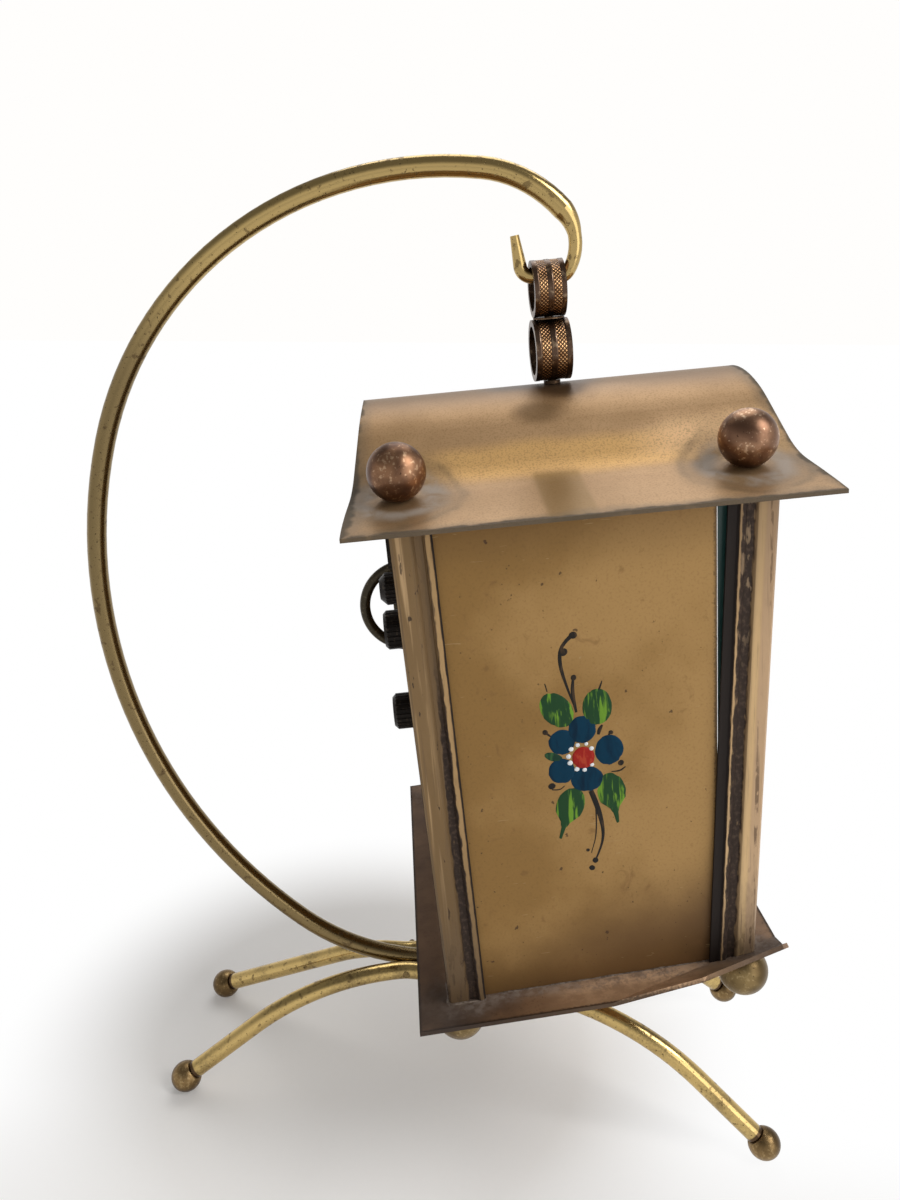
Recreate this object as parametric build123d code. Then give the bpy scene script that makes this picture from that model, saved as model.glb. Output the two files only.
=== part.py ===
from build123d import *
import math
import os

# Hanging lantern alarm clock on a hook stand. Millimetres, +Z up, dial towards -Y.
# The origin is on the floor, under the place where the stand's three rods are riveted together.

# ---- stand -------------------------------------------------------------------------------------
ROD_D = 4.7  # stem and base rods
HOOK_ROD_D = 3.0  # drawn-down hook end of the stem
BALL_FOOT_D = 8.1
FOOT_FLAT_DEPTH = 0.1  # worn flat under each foot ball
STEM_BASE = 32.4  # centre line of the stem's foot
ROD_JOINT = {-1: 31.6, 1: 31.0}  # centre line of each base rod beside it, near and far
RIVET_HEIGHT = 31.7
JOINT_GAP = 0.05  # between rods that lie side by side
BACK_FOOT = (18.8, 59.9)
FRONT_FOOT = (28.9, -93.8)
BACK_KNEE = {-1: (36.0, 30.8), 1: (47.4, 28.9)}  # plan length from the foot, height
FRONT_KNEE = (38.2, 36.5)
BACK_KNEE_R = {-1: 66.0, 1: 58.0}
FRONT_KNEE_R = 66.0
PLAN_BEND_R = 14.0
FOOT_SEAT = 3.0  # from a ball's centre to the rod end that seats in it
TENON_D = 2.2  # rod end that passes through the ball and is peened
TENON_CLEAR = 0.02
RIVET_D = 2.0
STEM_TAIL = 8.0  # length of the stem ahead of the rivet
STEM_LEVEL = 3.8  # level run ahead of the rivet before the stem turns up
STEM_ARCS = ((54.9, 37.45), (121.0, 69.9), (85.54, 78.1), (27.69, 22.29), (29.83, 17.54))  # radius, turn
TAPER_ARC = (10.01, 32.67)
CROOK_ARC = (12.72, 9.39)
SIDE_ARC = (9.99, 32.66)  # side of the hook, which leans in on its way down
HOOK_R = 2.6
HOOK_FLAT = 5.8
HOOK_SEAT = 2.5  # from the near end of the flat bottom to the rings' axis
HOOK_LEAN = 12.0  # degrees that the tip leans out
HOOK_TIP = 6.6
HOOK_TIP_D = 2.0

# ---- hanging rings -----------------------------------------------------------------------------
HANG_LIFT = 2.3  # bore top of the upper ring above the hook's centre line
UPPER_BORE_D = 9.4
LOWER_BORE_D = 10.68
RING_WALL = 1.4
RING_BEAD = 0.08
UPPER_RING_W = 7.0
LOWER_RING_W = 8.0
RING_GAP = 0.4  # filled by the swivel's collar
RING_PLAY = 0.05  # above and below the collar
COLLAR_D = 7.0
NECK_H = 0.75  # collar between the lower ring and the ridge
SWIVEL_D = 2.0
SWIVEL_HEAD_D = 3.8
SWIVEL_HEAD_T = 0.9
RUN_CLEAR = 0.05  # radial running clearance of every shaft

# ---- lantern, in its own upright frame: ridge top at z 0, hanging axis at y 0 ------------------
LANTERN_TURN = 7.8  # degrees about the vertical
LANTERN_TILT = 5.0  # back edge hangs low
SHEET = 0.8
ROOF_Y = 1.0  # centre of the roof behind the hanging axis
RIDGE_FORWARD = 0.7  # centre of the ridge ahead of the centre of the eaves
RIDGE_HALF = 42.8
EAVE_HALF = 47.3
RIDGE_R = 30.0
ROOF_SLOPE = 35.0
SLOPE_RUN = 9.5
FLARE_R = 20.0
EAVE_SLOPE = 9.0
EAVE_X = 52.0
CASE_Y = 2.0  # centre of the posts behind the hanging axis
POST_X = 47.0
POST_TOP_HALF = 37.5
POST_FOOT_HALF = {-1: 33.4, 1: 35.4}  # front and back posts
POST_LEG = 8.2
POST_SHEET = 0.7
GROOVE = 0.6
BEAD_RISE = 0.3
FLANGE = 1.8  # of each front post, inside its bead, beside the glass
POST_ROUND = 0.5
SEAT = 0.05  # gap left between soldered faces
PLATE_Y = 3.05
PLATE_HALF_Y = 41.25
PLATE_HALF_X = 54.2
PLATE_T = 1.0
PLATE_DROP = 126.2  # plate top under the ridge top, at the hanging axis
PLATE_SLOPE = 3.0
CURL_BACK = 40.0  # along the side edge
CURL_IN = 13.0  # along the front edge
CURL_ANGLE = 44.0  # in two equal folds
CORNER_CUT = 0.4  # blunted tip of each turned-up corner
ROOF_BALL_D = 11.8
ROOF_BALL_X = 35.8
ROOF_BALL_Y = 2.0
ROOF_BALL_HALF_Y = 34.9
PLATE_BALL_D = 11.2
PLATE_BALL_X = 42.9
PLATE_BALL_Y = 2.5
PLATE_BALL_HALF_Y = 32.7
BALL_SEAT = 0.35  # flat ground on each ball where it meets the sheet
BALL_PIN_D = 1.8  # riveted flush with the far face of the sheet
PANEL_FRONT_Y = -23.5
PANEL_LAP = 2.5  # panel behind the back post
GLASS_T = 2.4
GLASS_CLEAR = 0.4
GLASS_HALF_X = 45.0
CLIP_T = 1.2
CLIP_H = 3.0
DIAL_BACK_OFF = 5.4  # from the glass to the dial's face
DIAL_HALF_X = 44.4
DIAL_TOP = 19.5
DIAL_FOOT_GAP = 1.6  # dial's lower edge above the plate
CENTRE_Z = -55.4
ALARM_DROP = 21.8  # alarm arbor under the hand arbor
WIND_X = 18.5
WIND_RISE = -0.3
ALARM_WIND_X = -18.0
ALARM_WIND_RISE = 16.2

# ---- movement ----------------------------------------------------------------------------------
MOVE_HALF_X = 36.0
MOVE_TOP = 23.0
MOVE_FOOT = 108.0
MOVE_PLATE_T = 1.2
MOVE_FRONT_Y = -12.0
MOVE_DEPTH = 28.0  # between the plates
PILLAR_D = 5.0
PILLAR_IN = 4.0
STUD_D = 2.0
COVER_Y = 33.4
COVER_T = 1.0
COVER_LAP = 0.5  # cover behind each back post's leg
SCREW_HEAD_D = 4.2
SCREW_HEAD_T = 1.2

# ---- hands and arbors --------------------------------------------------------------------------
ARBOR_D = 3.0
HOUR_PIPE_WALL = 0.8
HAND_T = 0.5
HOUR_HAND_Y = -19.9
MINUTE_HAND_Y = -21.6
HOUR_HAND_L = 17.5
MINUTE_HAND_L = 26.0
ALARM_HAND_L = 6.2
ALARM_HAND_Y = -19.6
HOUR_WHEEL_D = 16.0
BARREL_D = 25.0
BARREL_T = 9.0
WHEEL_D = 22.0
WHEEL_T = 1.0
BALANCE_D = 20.0
BALANCE_RIM = 1.5
BELL_D = 25.0
BELL_H = 7.0
BELL_T = 0.9
HAMMER_ARM = 16.0
HAMMER_HEAD_D = 5.0
HAMMER_HEAD_L = 4.2

# ---- outside controls --------------------------------------------------------------------------
KNOB_GAP = 0.6
SET_KNOB_D = 9.6
SET_KNOB_L = 7.4
SET_KNOB_RECESS = 1.9  # knob's inner face behind the cover's outer face
ALARM_KNOB_D = 9.0
ALARM_KNOB_L = 4.6
ALARM_NECK_D = 5.2
WIND_KNOB_D = 7.2
WIND_KNOB_L = 7.4
KNURLS = 24
KNURL_D = 0.5
KEY_BOSS_D = 7.0
KEY_PIVOT_Y = 38.45
BOW_WIRE_D = 2.7
BOW_R = 11.0
BOW_CLEAR = 0.05
LEVER_T = 1.4
LEVER_W = 4.0
LEVER_TIP_Y = 41.8
LEVER_TOP = 6.4  # bend above the pivot
LEVER_FINGER = 20.0  # length of the finger that hangs from the bend


# ---- placing -----------------------------------------------------------------------------------
def chain_point(start, heading, arcs):
    """End point and heading of tangent arcs that all turn left."""
    x, z = start
    for radius, turn in arcs:
        a = math.radians(heading)
        b = math.radians(heading + turn)
        x += radius * (math.sin(b) - math.sin(a))
        z += radius * (math.cos(a) - math.cos(b))
        heading += turn
    return (x, z), heading


STEM_TOP, TOP_HEADING = chain_point((-STEM_LEVEL, STEM_BASE), 0, STEM_ARCS)
TAPER_END, TAPER_HEADING = chain_point(STEM_TOP, TOP_HEADING, (TAPER_ARC,))
CROOK_END, CROOK_HEADING = chain_point(TAPER_END, TAPER_HEADING, (CROOK_ARC,))
SIDE_END, SIDE_HEADING = chain_point(CROOK_END, CROOK_HEADING, (SIDE_ARC,))
BOTTOM_ARC = (HOOK_R, 360 - SIDE_HEADING)
BOTTOM, _ = chain_point(SIDE_END, SIDE_HEADING, (BOTTOM_ARC,))
HANG_Y, HANG_Z = BOTTOM[0] + HOOK_SEAT, BOTTOM[1]
UPPER_RING_R = UPPER_BORE_D / 2 + RING_WALL
LOWER_RING_R = LOWER_BORE_D / 2 + RING_WALL
UPPER_RING_Z = HANG_LIFT - UPPER_BORE_D / 2  # ring centre from the hanging point
LOWER_RING_Z = UPPER_RING_Z - UPPER_RING_R - RING_GAP - LOWER_RING_R
RIDGE_Z = LOWER_RING_Z - LOWER_RING_R - NECK_H
HANG = Location((0, HANG_Y, HANG_Z)) * Location((0, 0, 0), (0, 0, LANTERN_TURN))
HANGER = HANG * Location((0, 0, 0), (-LANTERN_TILT, 0, 0))
LANTERN = HANGER * Location((0, 0, RIDGE_Z))
ALONG_Y = Plane(origin=(0, 0, 0), x_dir=(1, 0, 0), z_dir=(0, 1, 0))


def rod_y(x, z, y_low, y_high, diameter):
    """Round bar along Y between two places."""
    plane = Plane(origin=(x, y_low, z), x_dir=(1, 0, 0), z_dir=(0, 1, 0))
    return extrude(plane * Circle(diameter / 2), y_high - y_low)


def rod_z(x, y, z_low, z_high, diameter):
    """Round bar along Z between two heights."""
    return extrude(Plane(origin=(x, y, z_low)) * Circle(diameter / 2), z_high - z_low)


def slab(x, y, z):
    """Box given by its low and high limits on each axis."""
    box = Box(x[1] - x[0], y[1] - y[0], z[1] - z[0])
    return Pos((x[0] + x[1]) / 2, (y[0] + y[1]) / 2, (z[0] + z[1]) / 2) * box


# ---- stand -------------------------------------------------------------------------------------
def stem_line(arcs, start, heading):
    """Tangent arcs in the stand's middle plane, as edges."""
    edges = []
    for radius, turn in arcs:
        end, new_heading = chain_point(start, heading, ((radius, turn),))
        middle, _ = chain_point(start, heading, ((radius, turn / 2),))
        points = [(0, p[0], p[1]) for p in (start, middle, end)]
        edges.append(ThreePointArc(*points))
        start, heading = end, new_heading
    return edges


def swept(edges, diameter, start, direction):
    """Round rod along joined edges."""
    plane = Plane(origin=start, z_dir=direction)
    return sweep(plane * Circle(diameter / 2), Wire(edges))


def hook_tip(bottom):
    """Tapered end of the hook, which leans out, from the end of its flat bottom."""
    end, _ = chain_point(bottom, 360, ((HOOK_R, 90 - HOOK_LEAN),))
    a = math.radians(90 - HOOK_LEAN)
    along = Vector(0, math.cos(a), math.sin(a))
    base = Vector(0, *end)
    big = Plane(origin=base, z_dir=along) * Circle(HOOK_ROD_D / 2)
    small = Plane(origin=base + along * HOOK_TIP, z_dir=along) * Circle(HOOK_TIP_D / 2)
    return loft([big, small])


def stem():
    """Curved stem, drawn down to a thin hook that carries the lantern."""
    tail = (0, -STEM_TAIL, STEM_BASE)
    level = Line(tail, (0, -STEM_LEVEL, STEM_BASE))
    arcs = stem_line(STEM_ARCS, (-STEM_LEVEL, STEM_BASE), 0)
    body = swept([level] + arcs, ROD_D, tail, (0, 1, 0))
    taper_edge = stem_line((TAPER_ARC,), STEM_TOP, TOP_HEADING)[0]
    sections = []
    for place, heading, diameter in (
        (STEM_TOP, TOP_HEADING, ROD_D),
        (TAPER_END, TAPER_HEADING, HOOK_ROD_D),
    ):
        a = math.radians(heading)
        plane = Plane(origin=(0, *place), z_dir=(0, math.cos(a), math.sin(a)))
        sections.append(plane * Circle(diameter / 2))
    taper = sweep(sections, Wire([taper_edge]), multisection=True)
    crook = stem_line((CROOK_ARC,), TAPER_END, TAPER_HEADING)
    side = stem_line((SIDE_ARC, BOTTOM_ARC), CROOK_END, CROOK_HEADING)
    bottom = (BOTTOM[0] + HOOK_FLAT, BOTTOM[1])
    flat = Line((0, *BOTTOM), (0, *bottom))
    rise = stem_line(((HOOK_R, 90 - HOOK_LEAN),), bottom, 360)
    a = math.radians(TAPER_HEADING)
    hook = swept(
        crook + side + [flat] + rise,
        HOOK_ROD_D,
        (0, *TAPER_END),
        (0, math.cos(a), math.sin(a)),
    )
    return body + taper + hook + hook_tip(bottom) - rivet_hole()


def rivet_hole():
    """Hole for the rivet, through all three rods."""
    start = Plane(origin=(-3 * ROD_D, 0, RIVET_HEIGHT), z_dir=(1, 0, 0))
    return extrude(start * Circle(RIVET_D / 2), 6 * ROD_D)


def foot_centre(side, front):
    """Centre of a foot ball: side -1 or 1, front or back."""
    x, y = FRONT_FOOT if front else BACK_FOOT
    return Vector(side * x, y, BALL_FOOT_D / 2 - FOOT_FLAT_DEPTH)


def bend(side):
    """Corner of a base rod where it passes the stem, so that the two rods just clear."""
    half = math.atan2(BACK_FOOT[0] - ROD_D, BACK_FOOT[1])
    half += math.atan2(FRONT_FOOT[0] - ROD_D, -FRONT_FOOT[1])
    x = ROD_D + JOINT_GAP - PLAN_BEND_R * (1 / math.cos(half / 2) - 1)
    return Vector(side * x, 0, ROD_JOINT[side])


def knee(side, front):
    """Corner of a base rod at the top of its sloping arm."""
    length, height = FRONT_KNEE if front else BACK_KNEE[side]
    foot = foot_centre(side, front)
    inward = Vector(bend(side).X, 0, foot.Z) - foot
    place = foot + inward.normalized() * length
    return Vector(place.X, place.Y, height)


def arm_direction(side, front):
    """Unit direction from a foot ball up its arm."""
    return (knee(side, front) - foot_centre(side, front)).normalized()


def base_rod(side):
    """One base rod, from back foot to front foot, bent in plan beside the stem."""
    ends = [foot_centre(side, f) + arm_direction(side, f) * FOOT_SEAT for f in (False, True)]
    corners = [ends[0], knee(side, False), bend(side), knee(side, True), ends[1]]
    path = FilletPolyline(*corners, radius=[BACK_KNEE_R[side], PLAN_BEND_R, FRONT_KNEE_R])
    rod = sweep(Plane(origin=ends[0], z_dir=arm_direction(side, False)) * Circle(ROD_D / 2), path)
    for front, end in zip((False, True), ends):
        out = -arm_direction(side, front)
        length = FOOT_SEAT + BALL_FOOT_D / 2 - FOOT_FLAT_DEPTH
        start = end - out * TENON_D / 2
        rod += extrude(Plane(origin=start, z_dir=out) * Circle(TENON_D / 2), length + TENON_D / 2)
    return rod - rivet_hole()


def foot_ball(side, front):
    """Ball foot, drilled through for the rod's peened end, with a small worn flat."""
    centre = foot_centre(side, front)
    up = arm_direction(side, front)
    ball = Pos(centre) * Sphere(BALL_FOOT_D / 2)
    ball -= extrude(Plane(origin=centre + up * (FOOT_SEAT - SEAT), z_dir=up) * Circle(ROD_D), ROD_D)
    bore = TENON_D / 2 + TENON_CLEAR
    ball -= extrude(Plane(origin=centre - up * BALL_FOOT_D, z_dir=up) * Circle(bore), 2 * BALL_FOOT_D)
    wide = BALL_FOOT_D
    floor = slab((centre.X - wide, centre.X + wide), (centre.Y - wide, centre.Y + wide), (-wide, 0))
    return ball - floor


def stem_rivet():
    """Rivet through both base rods and the stem, filed flush."""
    reach = 1.5 * ROD_D + JOINT_GAP - 2 * TENON_CLEAR
    start = Plane(origin=(-reach, 0, RIVET_HEIGHT), z_dir=(1, 0, 0))
    return extrude(start * Circle(RIVET_D / 2 - TENON_CLEAR), 2 * reach)


# ---- hanging rings -----------------------------------------------------------------------------
def ring(bore, width, centre_z):
    """Band ring about the Y axis with two rim beads and a middle bead."""
    r = bore / 2
    w = width / 2
    bead = width / 16
    outer = r + RING_WALL
    points = [(r, -w), (outer, -w), (outer, -w + 2 * bead), (outer - RING_BEAD, -w + 2.5 * bead)]
    points += [(outer - RING_BEAD, -1.5 * bead), (outer, -bead), (outer, bead)]
    points += [(outer - RING_BEAD, 1.5 * bead), (outer - RING_BEAD, w - 2.5 * bead)]
    points += [(outer, w - 2 * bead), (outer, w), (r, w)]
    section = make_face(Polyline(*[(x, y, 0) for x, y in points], close=True))
    return Pos(0, 0, centre_z) * revolve(section, Axis.Y)


def upper_ring():
    """Ring that hangs on the hook, with the swivel rivet's hole below."""
    band = ring(UPPER_BORE_D, UPPER_RING_W, UPPER_RING_Z)
    return band - rod_z(0, 0, UPPER_RING_Z - 2 * UPPER_RING_R, UPPER_RING_Z, SWIVEL_D)


def lower_ring():
    """Ring riveted to the ridge, free to turn on the swivel rivet above."""
    band = ring(LOWER_BORE_D, LOWER_RING_W, LOWER_RING_Z)
    band -= rod_z(0, 0, LOWER_RING_Z, LOWER_RING_Z + 2 * LOWER_RING_R, SWIVEL_D + 2 * RUN_CLEAR)
    return band - rod_z(0, 0, LOWER_RING_Z - 2 * LOWER_RING_R, LOWER_RING_Z, SWIVEL_D)


def swivel_rivet():
    """Rivet fixed in the upper ring, on which the lower ring turns."""
    top = UPPER_RING_Z - UPPER_BORE_D / 2
    bottom = LOWER_RING_Z + LOWER_BORE_D / 2
    flat = math.sqrt((LOWER_BORE_D / 2) ** 2 - (SWIVEL_HEAD_D / 2) ** 2)
    low = LOWER_RING_Z + flat - RING_PLAY
    high = UPPER_RING_Z - math.sqrt((UPPER_BORE_D / 2) ** 2 - (SWIVEL_HEAD_D / 2) ** 2)
    shaft_d = SWIVEL_D - 2 * TENON_CLEAR
    rivet = rod_z(0, 0, low - SWIVEL_HEAD_T / 2, max(high, top), shaft_d)
    rivet += rod_z(0, 0, low - SWIVEL_HEAD_T, min(low, bottom), SWIVEL_HEAD_D)
    rivet += rod_z(0, 0, high, high + SWIVEL_HEAD_T, SWIVEL_HEAD_D)
    under = UPPER_RING_Z - UPPER_RING_R
    return rivet + rod_z(0, 0, under - RING_GAP + RING_PLAY, under - RING_PLAY, COLLAR_D)


def roof_rivet():
    """Rivet with a collar between the lower ring and the ridge, and a nut under the roof."""
    ring_low = LOWER_RING_Z - math.sqrt((LOWER_BORE_D / 2) ** 2 - (SWIVEL_HEAD_D / 2) ** 2)
    collar_top = LOWER_RING_Z - LOWER_RING_R - SEAT
    under = RIDGE_Z - SHEET - SEAT
    rivet = rod_z(0, 0, under - 2 * SWIVEL_HEAD_T, ring_low + SWIVEL_HEAD_T, SWIVEL_D - 2 * TENON_CLEAR)
    rivet += rod_z(0, 0, ring_low, ring_low + SWIVEL_HEAD_T, SWIVEL_HEAD_D)
    rivet += rod_z(0, 0, RIDGE_Z + SEAT, collar_top, SWIVEL_HEAD_D)
    return rivet + rod_z(0, 0, under - SWIVEL_HEAD_T - 0.2, under - 0.2, SWIVEL_HEAD_D)


# ---- roof --------------------------------------------------------------------------------------
def roof_profile(depth=0.0):
    """Half profile of the roof: points and arcs from ridge to eave, moved inwards by depth."""
    a = math.radians(ROOF_SLOPE)
    b = math.radians(EAVE_SLOPE)
    r = RIDGE_R - depth
    f = FLARE_R + depth
    p0 = Vector(0, -depth)
    p1 = Vector(r * math.sin(a), -RIDGE_R + r * math.cos(a))
    m1 = Vector(r * math.sin(a / 2), -RIDGE_R + r * math.cos(a / 2))
    p2 = Vector(p1.X + SLOPE_RUN, p1.Y - SLOPE_RUN * math.tan(a))
    c = Vector(p2.X + f * math.sin(a), p2.Y + f * math.cos(a))
    m2 = Vector(c.X - f * math.sin((a + b) / 2), c.Y - f * math.cos((a + b) / 2))
    p3 = Vector(c.X - f * math.sin(b), c.Y - f * math.cos(b))
    p4 = Vector(EAVE_X, p3.Y - (EAVE_X - p3.X) * math.tan(b))
    return p0, m1, p1, p2, m2, p3, p4


def roof_edges(depth, side):
    """Edges of one half profile in the XZ plane."""
    p0, m1, p1, p2, m2, p3, p4 = [Vector(side * p.X, 0, p.Y) for p in roof_profile(depth)]
    return [ThreePointArc(p0, m1, p1), Line(p1, p2), ThreePointArc(p2, m2, p3), Line(p3, p4)]


def roof_height(x):
    """Height of the roof's top face above the eave flange, at a place on the flange."""
    p = roof_profile()
    return p[5].Y - (abs(x) - p[5].X) * math.tan(math.radians(EAVE_SLOPE))


def roof():
    """Curved roof sheet: rounded ridge, flared eaves and ends that spread towards the eaves."""
    edges = roof_edges(0, 1) + roof_edges(0, -1) + roof_edges(SHEET, 1) + roof_edges(SHEET, -1)
    for side in (-1, 1):
        top = roof_profile(0)[-1]
        low = roof_profile(SHEET)[-1]
        edges.append(Line((side * top.X, 0, top.Y), (side * low.X, 0, low.Y)))
    face = make_face(Wire(edges))
    long = EAVE_HALF + 5
    sheet = Pos(0, ROOF_Y + long, 0) * extrude(face, 2 * long, dir=(0, -1, 0))
    middle = (RIDGE_HALF + EAVE_HALF) / 2
    ends = [(-EAVE_X - 1, EAVE_HALF), (-EAVE_X / 2, middle), (0, RIDGE_HALF)]
    ends += [(EAVE_X / 2, middle), (EAVE_X + 1, EAVE_HALF)]
    leads = [RIDGE_FORWARD * (1 - abs(x) / (EAVE_X + 1)) for x, _ in ends]
    back = Spline(*[(x, ROOF_Y + y - lead, 0) for (x, y), lead in zip(ends, leads)])
    front = Spline(*[(x, ROOF_Y - y - lead, 0) for (x, y), lead in zip(ends, leads)])
    sides = [Line(back @ i, front @ i) for i in (0, 1)]
    plan = make_face(Wire([back, front] + sides))
    sheet &= Pos(0, 0, -RIDGE_R) * extrude(plan, 2 * RIDGE_R, dir=(0, 0, 1))
    for x, y in roof_ball_places():
        sheet -= rod_z(x, y, -RIDGE_R, 0, BALL_PIN_D + 2 * TENON_CLEAR)
    return sheet - rod_z(0, 0, -2 * SHEET, SHEET, SWIVEL_D)


# ---- lantern frame -----------------------------------------------------------------------------
def plate_top(y):
    """Height of the bottom plate's top face at a place along Y."""
    return -PLATE_DROP - y * math.tan(math.radians(PLATE_SLOPE))


def below_plate(gap):
    """Everything under the plate's top face, plus a gap."""
    wide = 2 * PLATE_HALF_X
    y_low, y_high = -wide, wide
    face = make_face(Polyline(
        (0, y_low, plate_top(y_low) + gap),
        (0, y_high, plate_top(y_high) + gap),
        (0, y_high, -3 * PLATE_DROP),
        (0, y_low, -3 * PLATE_DROP),
        close=True,
    ))
    return Pos(-wide, 0, 0) * extrude(face, 2 * wide, dir=(1, 0, 0))


def above_roof(gap):
    """Everything above the roof's underside, less a gap."""
    depth = SHEET + gap
    edges = roof_edges(depth, 1) + roof_edges(depth, -1)
    ends = []
    for side in (-1, 1):
        low = roof_profile(depth)[-1]
        far = Vector(side * 2 * EAVE_X, 0, low.Y - EAVE_X * math.tan(math.radians(EAVE_SLOPE)))
        ends.append(far)
        edges.append(Line((side * low.X, 0, low.Y), far))
    top = [Vector(p.X, 0, RIDGE_R) for p in ends]
    edges += [Line(ends[0], top[0]), Line(top[0], top[1]), Line(top[1], ends[1])]
    long = 3 * EAVE_HALF
    return Pos(0, long, 0) * extrude(make_face(Wire(edges)), 2 * long, dir=(0, -1, 0))


def post_lean(y_side):
    """Lean of a front (-1) or back (1) post for each unit of height."""
    return (POST_TOP_HALF - POST_FOOT_HALF[y_side]) / (PLATE_DROP - roof_drop_at_post())


def roof_drop_at_post():
    """How far the roof's flange is under the ridge at the posts."""
    return -roof_height(POST_X)


def post_face(y_side, z):
    """Outer face of a front (-1) or back (1) post, at a height."""
    half = POST_TOP_HALF + (z + roof_drop_at_post()) * post_lean(y_side)
    return CASE_Y + y_side * half


def post_section(flange):
    """Bent sheet angle, each leg with a wide face, a flute and a bead, and a flange on the side leg."""
    leg = [(POST_ROUND, 0), (0.50 * POST_LEG, 0), (0.57 * POST_LEG, -GROOVE), (0.75 * POST_LEG, -GROOVE)]
    leg += [(0.82 * POST_LEG, BEAD_RISE), (0.94 * POST_LEG, BEAD_RISE), (POST_LEG, -BEAD_RISE)]
    side = leg + [(POST_LEG + flange, -BEAD_RISE)] if flange else leg
    outline = [(w, -u) for u, w in side]
    outline += [(w - POST_SHEET, -u) for u, w in reversed(side) if u > POST_SHEET]
    outline += [(-POST_SHEET, -POST_SHEET)]
    outline += [(-u, w - POST_SHEET) for u, w in leg if u > POST_SHEET]
    outline += [(-u, w) for u, w in reversed(leg)]
    return make_face(Polyline(*[(x, y, 0) for x, y in outline], close=True))


def post(x_side, y_side):
    """Leaning corner post, cut to the roof's underside and the plate's top."""
    section = post_section(FLANGE if y_side < 0 else 0)
    if x_side < 0:
        section = mirror(section, Plane.YZ)
    if y_side < 0:
        section = mirror(section, Plane.XZ)
    top = -roof_drop_at_post() + POST_LEG
    place = Pos(x_side * POST_X, post_face(y_side, top), top)
    lean = Vector(0, -y_side * post_lean(y_side), -1)
    length = (PLATE_DROP + 2 * POST_LEG) * lean.length
    prism = extrude(place * section, length, dir=lean.normalized())
    prism = prism - above_roof(SEAT) - below_plate(SEAT)
    if y_side < 0:
        prism -= curl(x_side, 3 * POST_LEG, SEAT)
    return prism


def fold_points(x_side, share):
    """Ends of a fold across a front corner of the plate, on the side edge and on the front edge."""
    edge_y = PLATE_Y - PLATE_HALF_Y
    back_y = edge_y + share * CURL_BACK
    a = Vector(x_side * PLATE_HALF_X, back_y, plate_top(back_y))
    b = Vector(x_side * (PLATE_HALF_X - share * CURL_IN), edge_y, plate_top(edge_y))
    return a, b


def flap(points, depth, gap):
    """Flat piece of the plate, with a depth below and a gap above its top face."""
    face = make_face(Polyline(*points, close=True)).face()
    up = face.normal_at()
    if up.Z < 0:
        up = -up
    piece = extrude(face, depth, dir=-up)
    if gap:
        piece += extrude(face, gap, dir=up)
    return piece, up


def curl(x_side, depth, gap=0.0):
    """Turned-up front corner of the bottom plate, in two folds."""
    a, b = fold_points(x_side, 1.0)
    c, d = fold_points(x_side, 0.5)
    e, f = fold_points(x_side, CORNER_CUT / CURL_IN)
    tip, up = flap([c, d, f, e], depth, gap)
    strip, _ = flap([a, b, d, c], depth, gap)
    tip = tip.rotate(Axis(c - up * PLATE_T, d - c), x_side * CURL_ANGLE / 2)
    return (strip + tip).rotate(Axis(a - up * PLATE_T, b - a), x_side * CURL_ANGLE / 2)


def bottom_plate():
    """Square-cornered bottom plate, its front corners turned up, drilled for the tie rods."""
    y_low, y_high = PLATE_Y - PLATE_HALF_Y, PLATE_Y + PLATE_HALF_Y
    x = PLATE_HALF_X
    outline = [(-x, y_high), (x, y_high), (x, y_low + CURL_BACK), (x - CURL_IN, y_low)]
    outline += [(-x + CURL_IN, y_low), (-x, y_low + CURL_BACK)]
    face = make_face(Polyline(*[(px, py, plate_top(py)) for px, py in outline], close=True))
    plate = extrude(face, PLATE_T, dir=Vector(0, 0, -1))
    plate = plate + curl(-1, PLATE_T) + curl(1, PLATE_T)
    hole_d = BALL_PIN_D + 2 * TENON_CLEAR
    for px, py in plate_ball_places():
        plate -= rod_z(px, py, plate_top(py) - 2 * PLATE_T, plate_top(py) + PLATE_T, hole_d)
    return plate


def side_panel(x_side):
    """Side panel: its back edge behind the back post, its front edge upright."""
    outer = POST_X - GROOVE - POST_SHEET - SEAT
    low, high = -PLATE_DROP - 2 * POST_LEG, -roof_drop_at_post() + POST_LEG
    back = [post_face(1, z) - POST_LEG + PANEL_LAP for z in (low, high)]
    outline = [(PANEL_FRONT_Y, low), (back[0], low), (back[1], high), (PANEL_FRONT_Y, high)]
    face = make_face(Polyline(*[(x_side * outer, y, z) for y, z in outline], close=True))
    sheet = extrude(face, SHEET, dir=(-x_side, 0, 0))
    return sheet - above_roof(SEAT) - below_plate(SEAT)


def roof_ball_places():
    """Plan places of the roof balls, near side first, front before back."""
    return [(sx * ROOF_BALL_X, ROOF_BALL_Y + sy * ROOF_BALL_HALF_Y) for sx in (-1, 1) for sy in (-1, 1)]


def plate_ball_places():
    """Plan places of the balls under the bottom plate, in the same order."""
    return [(sx * PLATE_BALL_X, PLATE_BALL_Y + sy * PLATE_BALL_HALF_Y) for sx in (-1, 1) for sy in (-1, 1)]


def above_sheet_cut():
    """Everything under the roof's top face, plus the soldering gap."""
    long = 3 * EAVE_HALF
    edges = roof_edges(-SEAT, 1) + roof_edges(-SEAT, -1)
    ends = [Vector(s * EAVE_X, 0, roof_profile(-SEAT)[-1].Y) for s in (1, -1)]
    low = [Vector(p.X, 0, -2 * RIDGE_R) for p in ends]
    edges += [Line(ends[0], low[0]), Line(low[0], low[1]), Line(low[1], ends[1])]
    return Pos(0, long, 0) * extrude(make_face(Wire(edges)), 2 * long, dir=(0, -1, 0))


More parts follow.
